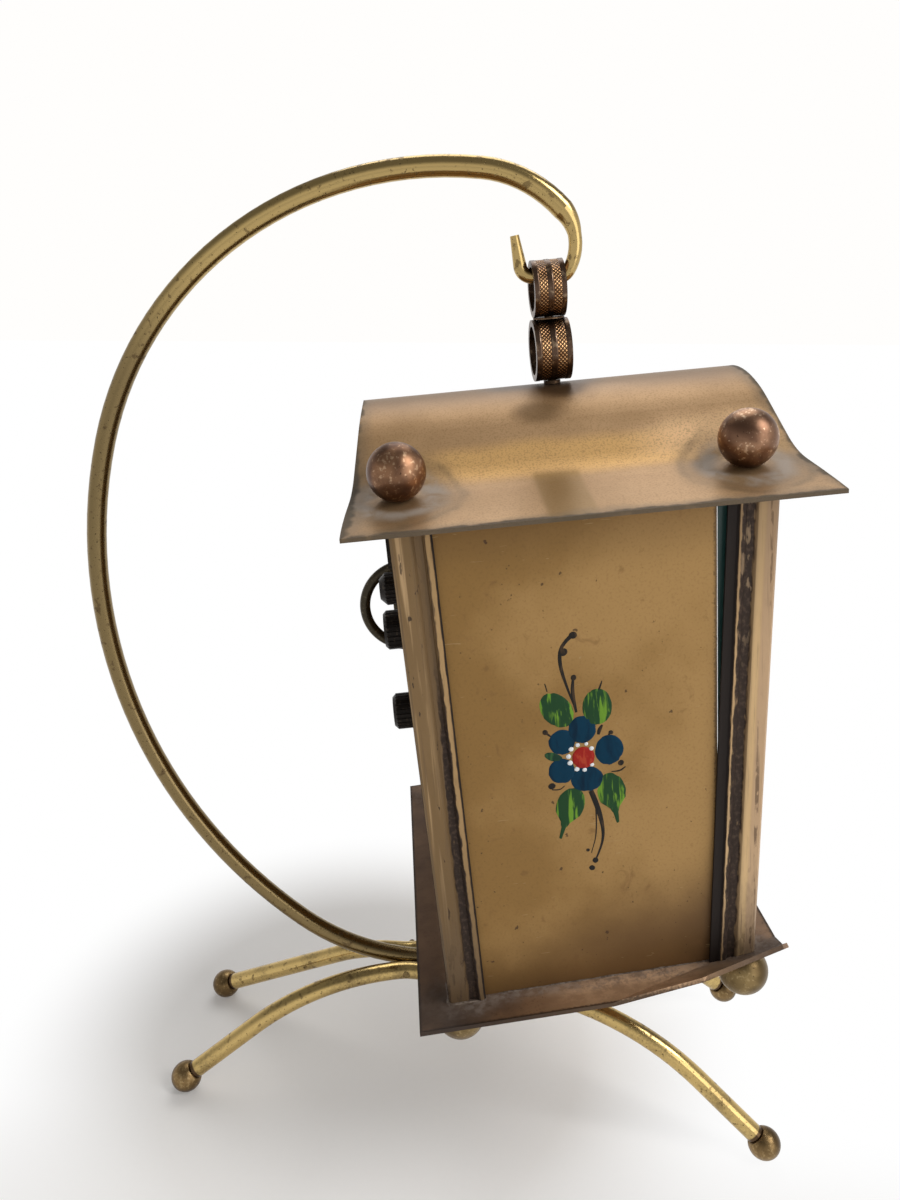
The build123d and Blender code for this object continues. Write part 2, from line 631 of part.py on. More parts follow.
def roof_ball(x, y):
    """Ball on the eave flange, seated on a flat, its pin riveted through the sheet."""
    lift = (ROOF_BALL_D / 2 - BALL_SEAT) / math.cos(math.radians(EAVE_SLOPE))
    centre = roof_height(x) + lift
    ball = Pos(x, y, centre) * Sphere(ROOF_BALL_D / 2) - above_sheet_cut()
    pin_low = roof_height(abs(x) - BALL_PIN_D / 2) - SHEET / math.cos(math.radians(EAVE_SLOPE))
    return ball + rod_z(x, y, pin_low, centre, BALL_PIN_D)


def plate_ball(x, y):
    """Ball under the bottom plate, seated on a flat, its pin riveted through the plate."""
    drop = PLATE_T / math.cos(math.radians(PLATE_SLOPE))
    centre = plate_top(y) - drop - (PLATE_BALL_D / 2 - BALL_SEAT)
    ball = Pos(x, y, centre) * Sphere(PLATE_BALL_D / 2)
    ball &= Pos(0, 0, -drop - SEAT) * below_plate(0)
    pin_high = plate_top(y + BALL_PIN_D / 2)
    return ball + rod_z(x, y, centre, pin_high, BALL_PIN_D)


# ---- glass, dial and cover ---------------------------------------------------------------------
GLASS_Y = PANEL_FRONT_Y - GLASS_CLEAR  # inner face of the glass
DIAL_Y = GLASS_Y + DIAL_BACK_OFF


def front_glass():
    """Upright pane between the front posts, standing on the bottom plate."""
    low, high = -PLATE_DROP - POST_LEG, 0
    pane = slab((-GLASS_HALF_X, GLASS_HALF_X), (GLASS_Y - GLASS_T, GLASS_Y), (low, high))
    return pane - above_roof(SEAT) - below_plate(SEAT)


def glass_clips():
    """Bent tabs soldered inside the front posts' faces, pressing the glass back."""
    clips = []
    for x_side in (-1, 1):
        for z in (-0.22 * PLATE_DROP, -0.9 * PLATE_DROP):
            leg_in = post_face(-1, z) + POST_SHEET + SEAT
            wall = POST_X - POST_SHEET - GROOVE - SEAT
            xs = sorted((x_side * wall, x_side * (wall - CLIP_T)))
            clips.append(slab(xs, (leg_in + GROOVE, GLASS_Y - GLASS_T - SEAT), (z - CLIP_H, z)))
    return Compound(clips)


def dial_plate():
    """Painted dial sheet with holes for the hand pipe and the alarm arbor."""
    low = plate_top(DIAL_Y) + DIAL_FOOT_GAP
    sheet = slab((-DIAL_HALF_X, DIAL_HALF_X), (DIAL_Y, DIAL_Y + SHEET), (low, -DIAL_TOP))
    pipe = ARBOR_D + 2 * (RUN_CLEAR + HOUR_PIPE_WALL)
    y = (DIAL_Y - 1, DIAL_Y + SHEET + 1)
    sheet -= rod_y(0, CENTRE_Z, *y, pipe + 4 * RUN_CLEAR)
    return sheet - rod_y(0, CENTRE_Z - ALARM_DROP, *y, ARBOR_D + 4 * RUN_CLEAR)


def arbor_places():
    """Name and place of each arbor that crosses the plates."""
    return {
        "centre": (0, CENTRE_Z),
        "alarm": (0, CENTRE_Z - ALARM_DROP),
        "wind": (WIND_X, CENTRE_Z + WIND_RISE),
        "alarm_wind": (ALARM_WIND_X, CENTRE_Z + ALARM_WIND_RISE),
    }


def pillar_places():
    """Corners where the pillars, spacers and dial feet stand."""
    x = MOVE_HALF_X - PILLAR_IN
    return [(sx * x, z) for sx in (-1, 1) for z in (-MOVE_TOP - PILLAR_IN, -MOVE_FOOT + PILLAR_IN)]


BALANCE_PLACE = (0, -0.84 * MOVE_FOOT)
HAMMER_PLACE = (-3.5, -0.935 * MOVE_FOOT)


def move_plate(y_low, holes):
    """Movement plate with arbor and stud holes."""
    y = (y_low, y_low + MOVE_PLATE_T)
    plate = slab((-MOVE_HALF_X, MOVE_HALF_X), y, (-MOVE_FOOT, -MOVE_TOP))
    plate = fillet(plate.edges().filter_by(Axis.Y), PILLAR_IN)
    for x, z in holes:
        plate -= rod_y(x, z, y_low - 1, y_low + MOVE_PLATE_T + 1, ARBOR_D + 2 * RUN_CLEAR)
    for x, z in pillar_places():
        plate -= rod_y(x, z, y_low - 1, y_low + MOVE_PLATE_T + 1, STUD_D)
    return plate


MOVE_BACK_Y = MOVE_FRONT_Y + MOVE_PLATE_T + MOVE_DEPTH


def movement_front_plate():
    """Front movement plate, behind the dial."""
    y = (MOVE_FRONT_Y - 1, MOVE_FRONT_Y + MOVE_PLATE_T + 1)
    plate = move_plate(MOVE_FRONT_Y, arbor_places().values())
    return plate - rod_y(*BALANCE_PLACE, *y, STUD_D + 2 * RUN_CLEAR)


def movement_back_plate():
    """Back movement plate."""
    y = (MOVE_BACK_Y - 1, MOVE_BACK_Y + MOVE_PLATE_T + 1)
    plate = move_plate(MOVE_BACK_Y, arbor_places().values())
    for x, z in (BALANCE_PLACE, HAMMER_PLACE):
        plate -= rod_y(x, z, *y, STUD_D + 2 * RUN_CLEAR)
    return plate


def pillars():
    """Four pillars between the movement plates."""
    y = (MOVE_FRONT_Y + MOVE_PLATE_T + SEAT, MOVE_BACK_Y - SEAT)
    return Compound([rod_y(x, z, *y, PILLAR_D) - rod_y(x, z, *y, STUD_D) for x, z in pillar_places()])


def dial_feet():
    """Four feet that hold the dial in front of the movement."""
    y = (DIAL_Y + SHEET + SEAT, MOVE_FRONT_Y - SEAT)
    return Compound([rod_y(x, z, *y, PILLAR_D) - rod_y(x, z, *y, STUD_D) for x, z in pillar_places()])


def cover_spacers():
    """Four sleeves that hold the movement off the back cover."""
    y = (MOVE_BACK_Y + MOVE_PLATE_T + SEAT, COVER_Y - SEAT)
    return Compound([rod_y(x, z, *y, PILLAR_D) - rod_y(x, z, *y, STUD_D) for x, z in pillar_places()])


def frame_screws():
    """Four long screws through cover, spacers, plates, pillars and feet."""
    screws = []
    head_y = COVER_Y + COVER_T + SEAT
    for x, z in pillar_places():
        shank = rod_y(x, z, DIAL_Y + SHEET + SEAT, head_y, STUD_D - 2 * TENON_CLEAR)
        head = rod_y(x, z, head_y, head_y + SCREW_HEAD_T, SCREW_HEAD_D)
        slot = slab(
            (x - SCREW_HEAD_D, x + SCREW_HEAD_D),
            (head_y + SCREW_HEAD_T / 2, head_y + 2 * SCREW_HEAD_T),
            (z - 0.3, z + 0.3),
        )
        screws.append(shank + head - slot)
    return Compound(screws)


LEVER_PLACE = (6.0, -27.5)
BELL_PLACE = (-19.5, -0.75 * MOVE_FOOT)
REGULATOR_PLACE = (0, BALANCE_PLACE[1])


def back_cover():
    """Back cover behind the back posts, drilled for every arbor."""
    half = POST_X - POST_LEG + COVER_LAP
    low = -PLATE_DROP - 2 * POST_LEG
    sheet = slab((-half, half), (COVER_Y, COVER_Y + COVER_T), (low, SHEET))
    sheet = sheet - below_plate(SEAT) - above_roof(SEAT)
    y = (COVER_Y - 1, COVER_Y + COVER_T + 1)
    for x, z in arbor_places().values():
        sheet -= rod_y(x, z, *y, ARBOR_D + 2 * RUN_CLEAR)
    for x, z in pillar_places():
        sheet -= rod_y(x, z, *y, STUD_D)
    for x, z in (LEVER_PLACE, REGULATOR_PLACE):
        sheet -= rod_y(x, z, *y, STUD_D + 2 * RUN_CLEAR)
    return sheet


# ---- hands and arbors --------------------------------------------------------------------------
def hand(length, y, hub_d, bore_d, width):
    """Flat hand with a round hub and a spear-shaped blade pointing up."""
    half = width / 2
    blade = [(-0.35 * half, 0), (-half, 0.62 * length), (0, length), (half, 0.62 * length)]
    blade += [(0.35 * half, 0), (0.3 * half, -0.22 * length), (-0.3 * half, -0.22 * length)]
    face = make_face(Polyline(*[(x, 0, z) for x, z in blade], close=True))
    flat = Pos(0, y + HAND_T, 0) * extrude(face, HAND_T, dir=(0, -1, 0))
    flat += rod_y(0, 0, y, y + HAND_T, hub_d)
    return flat - rod_y(0, 0, y - 1, y + 2 * HAND_T, bore_d)


KNOB_Y = COVER_Y + COVER_T + KNOB_GAP
ARBOR_FRONT_Y = MINUTE_HAND_Y - 2 * HAND_T
HAND_FIT = 2 * TENON_CLEAR


def centre_arbor():
    """Arbor from the minute hand to the hand-setting knob, with its wheel between the plates."""
    arbor = rod_y(0, 0, ARBOR_FRONT_Y, KNOB_Y + SET_KNOB_L / 2, ARBOR_D)
    wheel_y = MOVE_FRONT_Y + MOVE_PLATE_T + KNOB_GAP
    return arbor + rod_y(0, 0, wheel_y, wheel_y + WHEEL_T, WHEEL_D)


def minute_hand():
    """Long hand on the front end of the centre arbor."""
    blade = hand(MINUTE_HAND_L, MINUTE_HAND_Y, 2 * ARBOR_D, ARBOR_D + HAND_FIT, 3.2)
    return blade


def hour_pipe():
    """Pipe that turns on the centre arbor and carries the hour hand and hour wheel."""
    bore = ARBOR_D + 2 * RUN_CLEAR
    outer = bore + 2 * HOUR_PIPE_WALL
    back = MOVE_FRONT_Y - KNOB_GAP
    pipe = rod_y(0, 0, HOUR_HAND_Y, back, outer)
    pipe += rod_y(0, 0, back - WHEEL_T, back, HOUR_WHEEL_D)
    return pipe - rod_y(0, 0, HOUR_HAND_Y - 1, back + 1, bore)


def hour_hand():
    """Short hand on the hour pipe."""
    pipe = ARBOR_D + 2 * (RUN_CLEAR + HOUR_PIPE_WALL)
    return hand(HOUR_HAND_L, HOUR_HAND_Y, 2.4 * ARBOR_D, pipe + HAND_FIT, 4.2)


def alarm_arbor():
    """Arbor from the alarm hand to the alarm-setting knob."""
    return rod_y(0, 0, ALARM_HAND_Y - HAND_T, KNOB_Y + ALARM_KNOB_L / 2, ARBOR_D)


def alarm_hand():
    """Small hand of the alarm dial."""
    return hand(ALARM_HAND_L, ALARM_HAND_Y, 1.6 * ARBOR_D, ARBOR_D + HAND_FIT, 2.0)


def knurled(diameter, y_low, y_high, bevel):
    """Knurled knob along Y with a bevelled outer rim."""
    body = rod_y(0, 0, y_low, y_high, diameter)
    body = chamfer(body.edges().filter_by(GeomType.CIRCLE).sort_by(Axis.Y)[-1], bevel)
    cuts = []
    for i in range(KNURLS):
        a = 2 * math.pi * i / KNURLS
        x, z = diameter / 2 * math.cos(a), diameter / 2 * math.sin(a)
        cuts.append(rod_y(x, z, y_low - 1, y_high + 1, KNURL_D))
    return body - Compound(cuts)


def hand_setting_knob():
    """Wide knurled knob that sets the hands."""
    knob = knurled(SET_KNOB_D, KNOB_Y + SET_KNOB_RECESS, KNOB_Y + SET_KNOB_RECESS + SET_KNOB_L, 0.8)
    knob += rod_y(0, 0, KNOB_Y, KNOB_Y + SET_KNOB_RECESS, 0.6 * SET_KNOB_D)
    return knob - rod_y(0, 0, KNOB_Y - 1, KNOB_Y + SET_KNOB_L / 2, ARBOR_D + HAND_FIT)


def alarm_setting_knob():
    """Knob with a narrow neck that sets the alarm."""
    neck = SET_KNOB_RECESS + SET_KNOB_L - ALARM_KNOB_L
    knob = knurled(ALARM_KNOB_D, KNOB_Y + neck, KNOB_Y + neck + ALARM_KNOB_L, 0.9)
    knob += rod_y(0, 0, KNOB_Y, KNOB_Y + neck, ALARM_NECK_D)
    return knob - rod_y(0, 0, KNOB_Y - 1, KNOB_Y + ALARM_KNOB_L / 2, ARBOR_D + HAND_FIT)


def barrel(y_low):
    """Spring barrel with a cap rim, bored for its arbor."""
    drum = rod_y(0, 0, y_low, y_low + BARREL_T, BARREL_D)
    drum += rod_y(0, 0, y_low, y_low + WHEEL_T, BARREL_D + 3)
    return drum - rod_y(0, 0, y_low - 1, y_low + BARREL_T + 1, ARBOR_D + HAND_FIT)


TIME_BARREL_Y = MOVE_FRONT_Y + MOVE_PLATE_T + KNOB_GAP + 2 * WHEEL_T
ALARM_BARREL_Y = TIME_BARREL_Y + BARREL_T + 2 * KNOB_GAP


def key_arbor():
    """Winding arbor with the key's boss, cross-drilled for the bow."""
    boss_out = KEY_PIVOT_Y + KEY_BOSS_D / 2
    arbor = rod_y(0, 0, MOVE_FRONT_Y, KNOB_Y + KNOB_GAP, ARBOR_D)
    arbor += chamfer(
        rod_y(0, 0, KNOB_Y, boss_out, KEY_BOSS_D).edges().filter_by(GeomType.CIRCLE).sort_by(Axis.Y)[-1],
        0.8,
    )
    cross = KEY_BOSS_D
    hole = Pos(0, KEY_PIVOT_Y, -cross) * extrude(Plane.XY * Circle(BOW_WIRE_D / 2 + BOW_CLEAR), 2 * cross)
    return arbor - hole


def key_bow():
    """D-shaped bow of the winding key; its straight side passes through the boss."""
    arc = ThreePointArc(
        (0, KEY_PIVOT_Y, -BOW_R), (0, KEY_PIVOT_Y + BOW_R, 0), (0, KEY_PIVOT_Y, BOW_R)
    )
    loop = sweep(Plane(origin=(0, KEY_PIVOT_Y, -BOW_R), z_dir=(0, 1, 0)) * Circle(BOW_WIRE_D / 2), arc)
    bar = Pos(0, KEY_PIVOT_Y, -BOW_R) * extrude(Plane.XY * Circle(BOW_WIRE_D / 2), 2 * BOW_R)
    for end in (-BOW_R, BOW_R):
        bar += Pos(0, KEY_PIVOT_Y, end) * Sphere(BOW_WIRE_D / 2)
    return loop + bar


def alarm_winding_arbor():
    """Winding arbor of the alarm spring."""
    return rod_y(0, 0, MOVE_FRONT_Y, KNOB_Y + WIND_KNOB_L / 2, ARBOR_D)


def alarm_winding_knob():
    """Domed knurled knob that winds the alarm."""
    y = (KNOB_Y + SET_KNOB_RECESS, KNOB_Y + SET_KNOB_RECESS + WIND_KNOB_L - 0.8)
    knob = knurled(WIND_KNOB_D, *y, 1.4)
    knob += rod_y(0, 0, KNOB_Y, y[0], 0.6 * WIND_KNOB_D)
    return knob - rod_y(0, 0, KNOB_Y - 1, KNOB_Y + WIND_KNOB_L / 2, ARBOR_D + HAND_FIT)


def alarm_stop_lever():
    """Stop lever on the back cover: a strip under the eave, bent out and down into a finger."""
    y = COVER_Y + COVER_T + KNOB_GAP
    half = LEVER_W / 2
    strip = slab((-half, half), (y, y + LEVER_T), (-half, LEVER_TOP))
    strip += slab((-half, half), (y, LEVER_TIP_Y), (LEVER_TOP - LEVER_T, LEVER_TOP))
    strip += slab((-half, half), (LEVER_TIP_Y - LEVER_T, LEVER_TIP_Y), (LEVER_TOP - LEVER_FINGER, LEVER_TOP))
    pin_y = COVER_Y - KNOB_GAP - LEVER_T
    strip += rod_y(0, 0, pin_y, y + LEVER_T, STUD_D)
    return strip + rod_y(0, 0, pin_y, pin_y + LEVER_T / 2, 2 * STUD_D)


def regulator_lever():
    """Slow-fast lever low on the back cover."""
    y = COVER_Y + COVER_T + KNOB_GAP / 2
    blade = slab((-0.8, 0.8), (y, y + LEVER_T / 2), (-STUD_D, 4 * STUD_D))
    blade += rod_y(0, 0, y, y + LEVER_T / 2, 2 * STUD_D)
    pin_y = COVER_Y - KNOB_GAP - LEVER_T
    blade += rod_y(0, 0, pin_y, y + LEVER_T / 2, STUD_D)
    return blade + rod_y(0, 0, pin_y, pin_y + LEVER_T / 2, 2 * STUD_D)


def balance_wheel():
    """Balance wheel with its staff and two spokes."""
    y = MOVE_BACK_Y - 8 * WHEEL_T
    inside = BALANCE_D - 2 * BALANCE_RIM
    staff = rod_y(0, 0, MOVE_FRONT_Y, MOVE_BACK_Y + MOVE_PLATE_T, STUD_D)
    rim = rod_y(0, 0, y, y + WHEEL_T, BALANCE_D) - rod_y(0, 0, y, y + WHEEL_T, inside)
    reach = (BALANCE_D - BALANCE_RIM) / 2
    spoke = slab((-reach, reach), (y, y + WHEEL_T), (-BALANCE_RIM / 2, BALANCE_RIM / 2))
    return staff + rim + spoke


def hammer():
    """Alarm hammer on a short staff in the back plate, its head beside the bell."""
    y = MOVE_BACK_Y + MOVE_PLATE_T + 3 * BELL_T
    staff = rod_y(0, 0, MOVE_BACK_Y - KNOB_GAP, y + HAMMER_HEAD_L, STUD_D)
    arm = slab((-0.6, 0.6), (y + 0.3 * HAMMER_HEAD_L, y + 0.6 * HAMMER_HEAD_L), (0, HAMMER_ARM))
    return staff + arm + rod_y(0, HAMMER_ARM, y, y + HAMMER_HEAD_L, HAMMER_HEAD_D)


def bell():
    """Shallow bell on its post behind the movement's back plate."""
    low = MOVE_BACK_Y + MOVE_PLATE_T + 3 * BELL_T
    rim = rod_y(0, 0, low, low + BELL_H, BELL_D)
    rim = chamfer(rim.edges().filter_by(GeomType.CIRCLE).sort_by(Axis.Y)[-1], BELL_H / 2)
    hollow = rod_y(0, 0, low - BELL_T, low + BELL_H - BELL_T, BELL_D - 2 * BELL_T)
    hollow = chamfer(hollow.edges().filter_by(GeomType.CIRCLE).sort_by(Axis.Y)[-1], BELL_H / 2)
    return rim - hollow + rod_y(0, 0, MOVE_BACK_Y + MOVE_PLATE_T + SEAT, low + BELL_H, 2 * STUD_D)


# ---- write every sub-part ----------------------------------------------------------------------
SIDES = {"near": -1, "far": 1}
ENDS = {"front": -1, "back": 1}


def at(x, z):
    """Place of a piece that is built about the Y axis."""
    return LANTERN * Location((x, 0, z))


def stand_pieces():
    """Stem, base rods and feet."""
    pieces = {"stem": stem(), "stem_rivet": stem_rivet()}
    for side_name, side in SIDES.items():
        pieces[f"base_rod_{side_name}"] = base_rod(side)
        for end_name, end in ENDS.items():
            pieces[f"foot_ball_{end_name}_{side_name}"] = foot_ball(side, end < 0)
    return pieces


def case_pieces():
    """Roof, posts, panels, plate and balls, in the lantern's upright frame."""
    pieces = {"roof": roof(), "bottom_plate": bottom_plate()}
    places = zip(roof_ball_places(), plate_ball_places())
    for side_name, side in SIDES.items():
        pieces[f"side_panel_{side_name}"] = side_panel(side)
        for end_name, end in ENDS.items():
            high, low = next(places)
            pieces[f"post_{end_name}_{side_name}"] = post(side, end)
            pieces[f"roof_ball_{end_name}_{side_name}"] = roof_ball(*high)
            pieces[f"plate_ball_{end_name}_{side_name}"] = plate_ball(*low)
    for piece in (front_glass, glass_clips, dial_plate, back_cover, movement_front_plate):
        pieces[piece.__name__] = piece()
    for piece in (movement_back_plate, pillars, dial_feet, cover_spacers, frame_screws):
        pieces[piece.__name__] = piece()
    return pieces


def turned_pieces():
    """Pieces built about their own arbor, each with that arbor's place."""
    places = arbor_places()
    placed = {}
    for piece in (centre_arbor, minute_hand, hour_pipe, hour_hand, hand_setting_knob):
        placed[piece.__name__] = (piece(), places["centre"])
    for piece in (alarm_arbor, alarm_hand, alarm_setting_knob):
        placed[piece.__name__] = (piece(), places["alarm"])
    for piece in (key_arbor, key_bow):
        placed[piece.__name__] = (piece(), places["wind"])
    for piece in (alarm_winding_arbor, alarm_winding_knob):
        placed[piece.__name__] = (piece(), places["alarm_wind"])
    placed["time_barrel"] = (barrel(TIME_BARREL_Y), places["wind"])
    placed["alarm_barrel"] = (barrel(ALARM_BARREL_Y), places["alarm_wind"])
    placed["alarm_stop_lever"] = (alarm_stop_lever(), LEVER_PLACE)
    placed["regulator_lever"] = (regulator_lever(), REGULATOR_PLACE)
    placed["balance_wheel"] = (balance_wheel(), BALANCE_PLACE)
    placed["hammer"] = (hammer(), HAMMER_PLACE)
    placed["bell"] = (bell(), BELL_PLACE)
    return placed


def assembly():
    """Every piece in the stand's frame."""
    pieces = stand_pieces()
    for piece in (upper_ring, swivel_rivet, lower_ring, roof_rivet):
        pieces[piece.__name__] = HANGER * piece()
    for name, shape in case_pieces().items():
        pieces[name] = LANTERN * shape
    for name, (shape, place) in turned_pieces().items():
        pieces[name] = at(*place) * shape
    return pieces


def floor_centre(pieces):
    """Middle of the whole clock's footprint, on the floor."""
    box = Compound(list(pieces.values())).bounding_box()
    return Vector(box.center().X, box.center().Y, 0)


def main():
    """Write one file for each piece, with the footprint's middle at the origin."""
    os.makedirs("parts", exist_ok=True)
    pieces = assembly()
    shift = Location(-floor_centre(pieces))
    for name, shape in pieces.items():
        export_step(shift * shape, f"parts/{name}.step")


if __name__ == "__main__":
    main()
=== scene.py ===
"""Hanging lantern alarm clock on a hook stand: finishes, painted work, dial and studio."""

import logging
import math
from dataclasses import dataclass, field
from enum import Enum

import bpy
from mathutils import Euler, Matrix, Vector


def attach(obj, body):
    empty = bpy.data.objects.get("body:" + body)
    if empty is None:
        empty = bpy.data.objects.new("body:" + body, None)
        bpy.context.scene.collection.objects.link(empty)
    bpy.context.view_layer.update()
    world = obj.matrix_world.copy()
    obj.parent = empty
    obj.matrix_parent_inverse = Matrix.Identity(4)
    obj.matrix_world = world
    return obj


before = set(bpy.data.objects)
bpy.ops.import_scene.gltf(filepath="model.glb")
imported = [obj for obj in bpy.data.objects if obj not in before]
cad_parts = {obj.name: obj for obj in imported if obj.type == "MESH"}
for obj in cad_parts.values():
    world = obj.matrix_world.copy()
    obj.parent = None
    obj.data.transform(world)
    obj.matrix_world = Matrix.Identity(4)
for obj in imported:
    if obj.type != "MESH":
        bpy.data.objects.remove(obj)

MM = 0.001
PANEL_X = 45.65  # from the lantern's middle to a side panel's outer face, in millimetres
Point = tuple[float, float, float]
Colour = tuple[float, float, float]
Row = tuple[float, ...]
log = logging.getLogger("lantern_clock")


# ---- places ------------------------------------------------------------------------------------
@dataclass(frozen=True)
class Axes:
    """Axes fixed to one body, in which its pieces are sized in millimetres.

    Args:
        origin: the axes' origin in the shared frame, in metres.
        turn: degrees about X, then Y, then Z.
    """

    origin: Point
    turn: Point = (0.0, 0.0, 0.0)

    def radians(self) -> Point:
        """Return the turn in radians."""
        return tuple(math.radians(angle) for angle in self.turn)

    def matrix(self) -> Matrix:
        """Return the matrix from these axes, in metres, to the shared frame."""
        return Matrix.Translation(self.origin) @ Euler(self.radians()).to_matrix().to_4x4()

    def moved(self, x: float, y: float, z: float) -> "Axes":
        """Return the same axes with their origin moved.

        Args:
            x: millimetres along these axes' X.
            y: millimetres along these axes' Y.
            z: millimetres along these axes' Z.
        """
        place = self.matrix() @ Vector((x * MM, y * MM, z * MM))
        return Axes(tuple(place), self.turn)


LANTERN = Axes((0.000074, -0.025456, 0.190215), (-5.0, 0.0, 7.8))
HANGER = Axes((-0.000200, -0.023458, 0.213257), (-5.0, 0.0, 7.8))
STAND = Axes((-0.000200, 0.009247, 0.0))


# ---- shader tools ------------------------------------------------------------------------------
class Signal:
    """One value inside a material. Python operators on it add Math nodes."""

    def __init__(self, tree: bpy.types.NodeTree, socket: bpy.types.NodeSocket) -> None:
        """Wrap a socket.

        Args:
            tree: the material's node tree.
            socket: the output socket that carries the value.
        """
        self.tree = tree
        self.socket = socket

    def maths(self, operation: str, *values: "Signal | float") -> "Signal":
        """Add a Math node.

        Args:
            operation: the node's operation.
            values: its inputs in order.

        Returns:
            The node's result.
        """
        node = self.tree.nodes.new("ShaderNodeMath")
        node.operation = operation
        for socket, value in zip(node.inputs, values):
            plug(self.tree, socket, value)
        return Signal(self.tree, node.outputs[0])

    def __add__(self, other: "Signal | float") -> "Signal":
        """Return self + other."""
        return self.maths("ADD", self, other)

    def __sub__(self, other: "Signal | float") -> "Signal":
        """Return self - other."""
        return self.maths("SUBTRACT", self, other)

    def __rsub__(self, other: float) -> "Signal":
        """Return other - self."""
        return self.maths("SUBTRACT", other, self)

    def __mul__(self, other: "Signal | float") -> "Signal":
        """Return self * other."""
        return self.maths("MULTIPLY", self, other)

    def __truediv__(self, other: "Signal | float") -> "Signal":
        """Return self / other."""
        return self.maths("DIVIDE", self, other)

    def __abs__(self) -> "Signal":
        """Return the size of self."""
        return self.maths("ABSOLUTE", self)

    __radd__ = __add__
    __rmul__ = __mul__

    def least(self, other: "Signal | float") -> "Signal":
        """Return the smaller of self and other."""
        return self.maths("MINIMUM", self, other)

    def most(self, other: "Signal | float") -> "Signal":
        """Return the larger of self and other."""
        return self.maths("MAXIMUM", self, other)

    def root(self) -> "Signal":
        """Return the square root of self."""
        return self.maths("SQRT", self)

    def part(self) -> "Signal":
        """Return what is left of self past its whole number."""
        return self.maths("FRACT", self)

    def swing(self, width: float) -> "Signal":
        """Return a value from 0 to 1 as one from -width / 2 to width / 2."""
        return (self - 0.5) * width


def plug(tree: bpy.types.NodeTree, socket: bpy.types.NodeSocket, value: object) -> None:
    """Link or set one input socket.

    Args:
        tree: the material's node tree.
        socket: the input socket.
        value: a Signal, a number, or a tuple; a colour of three numbers gets its alpha.
    """
    if isinstance(value, Signal):
        tree.links.new(value.socket, socket)
    elif socket.type == "RGBA" and len(value) == 3:
        socket.default_value = (*value, 1.0)
    else:
        socket.default_value = value


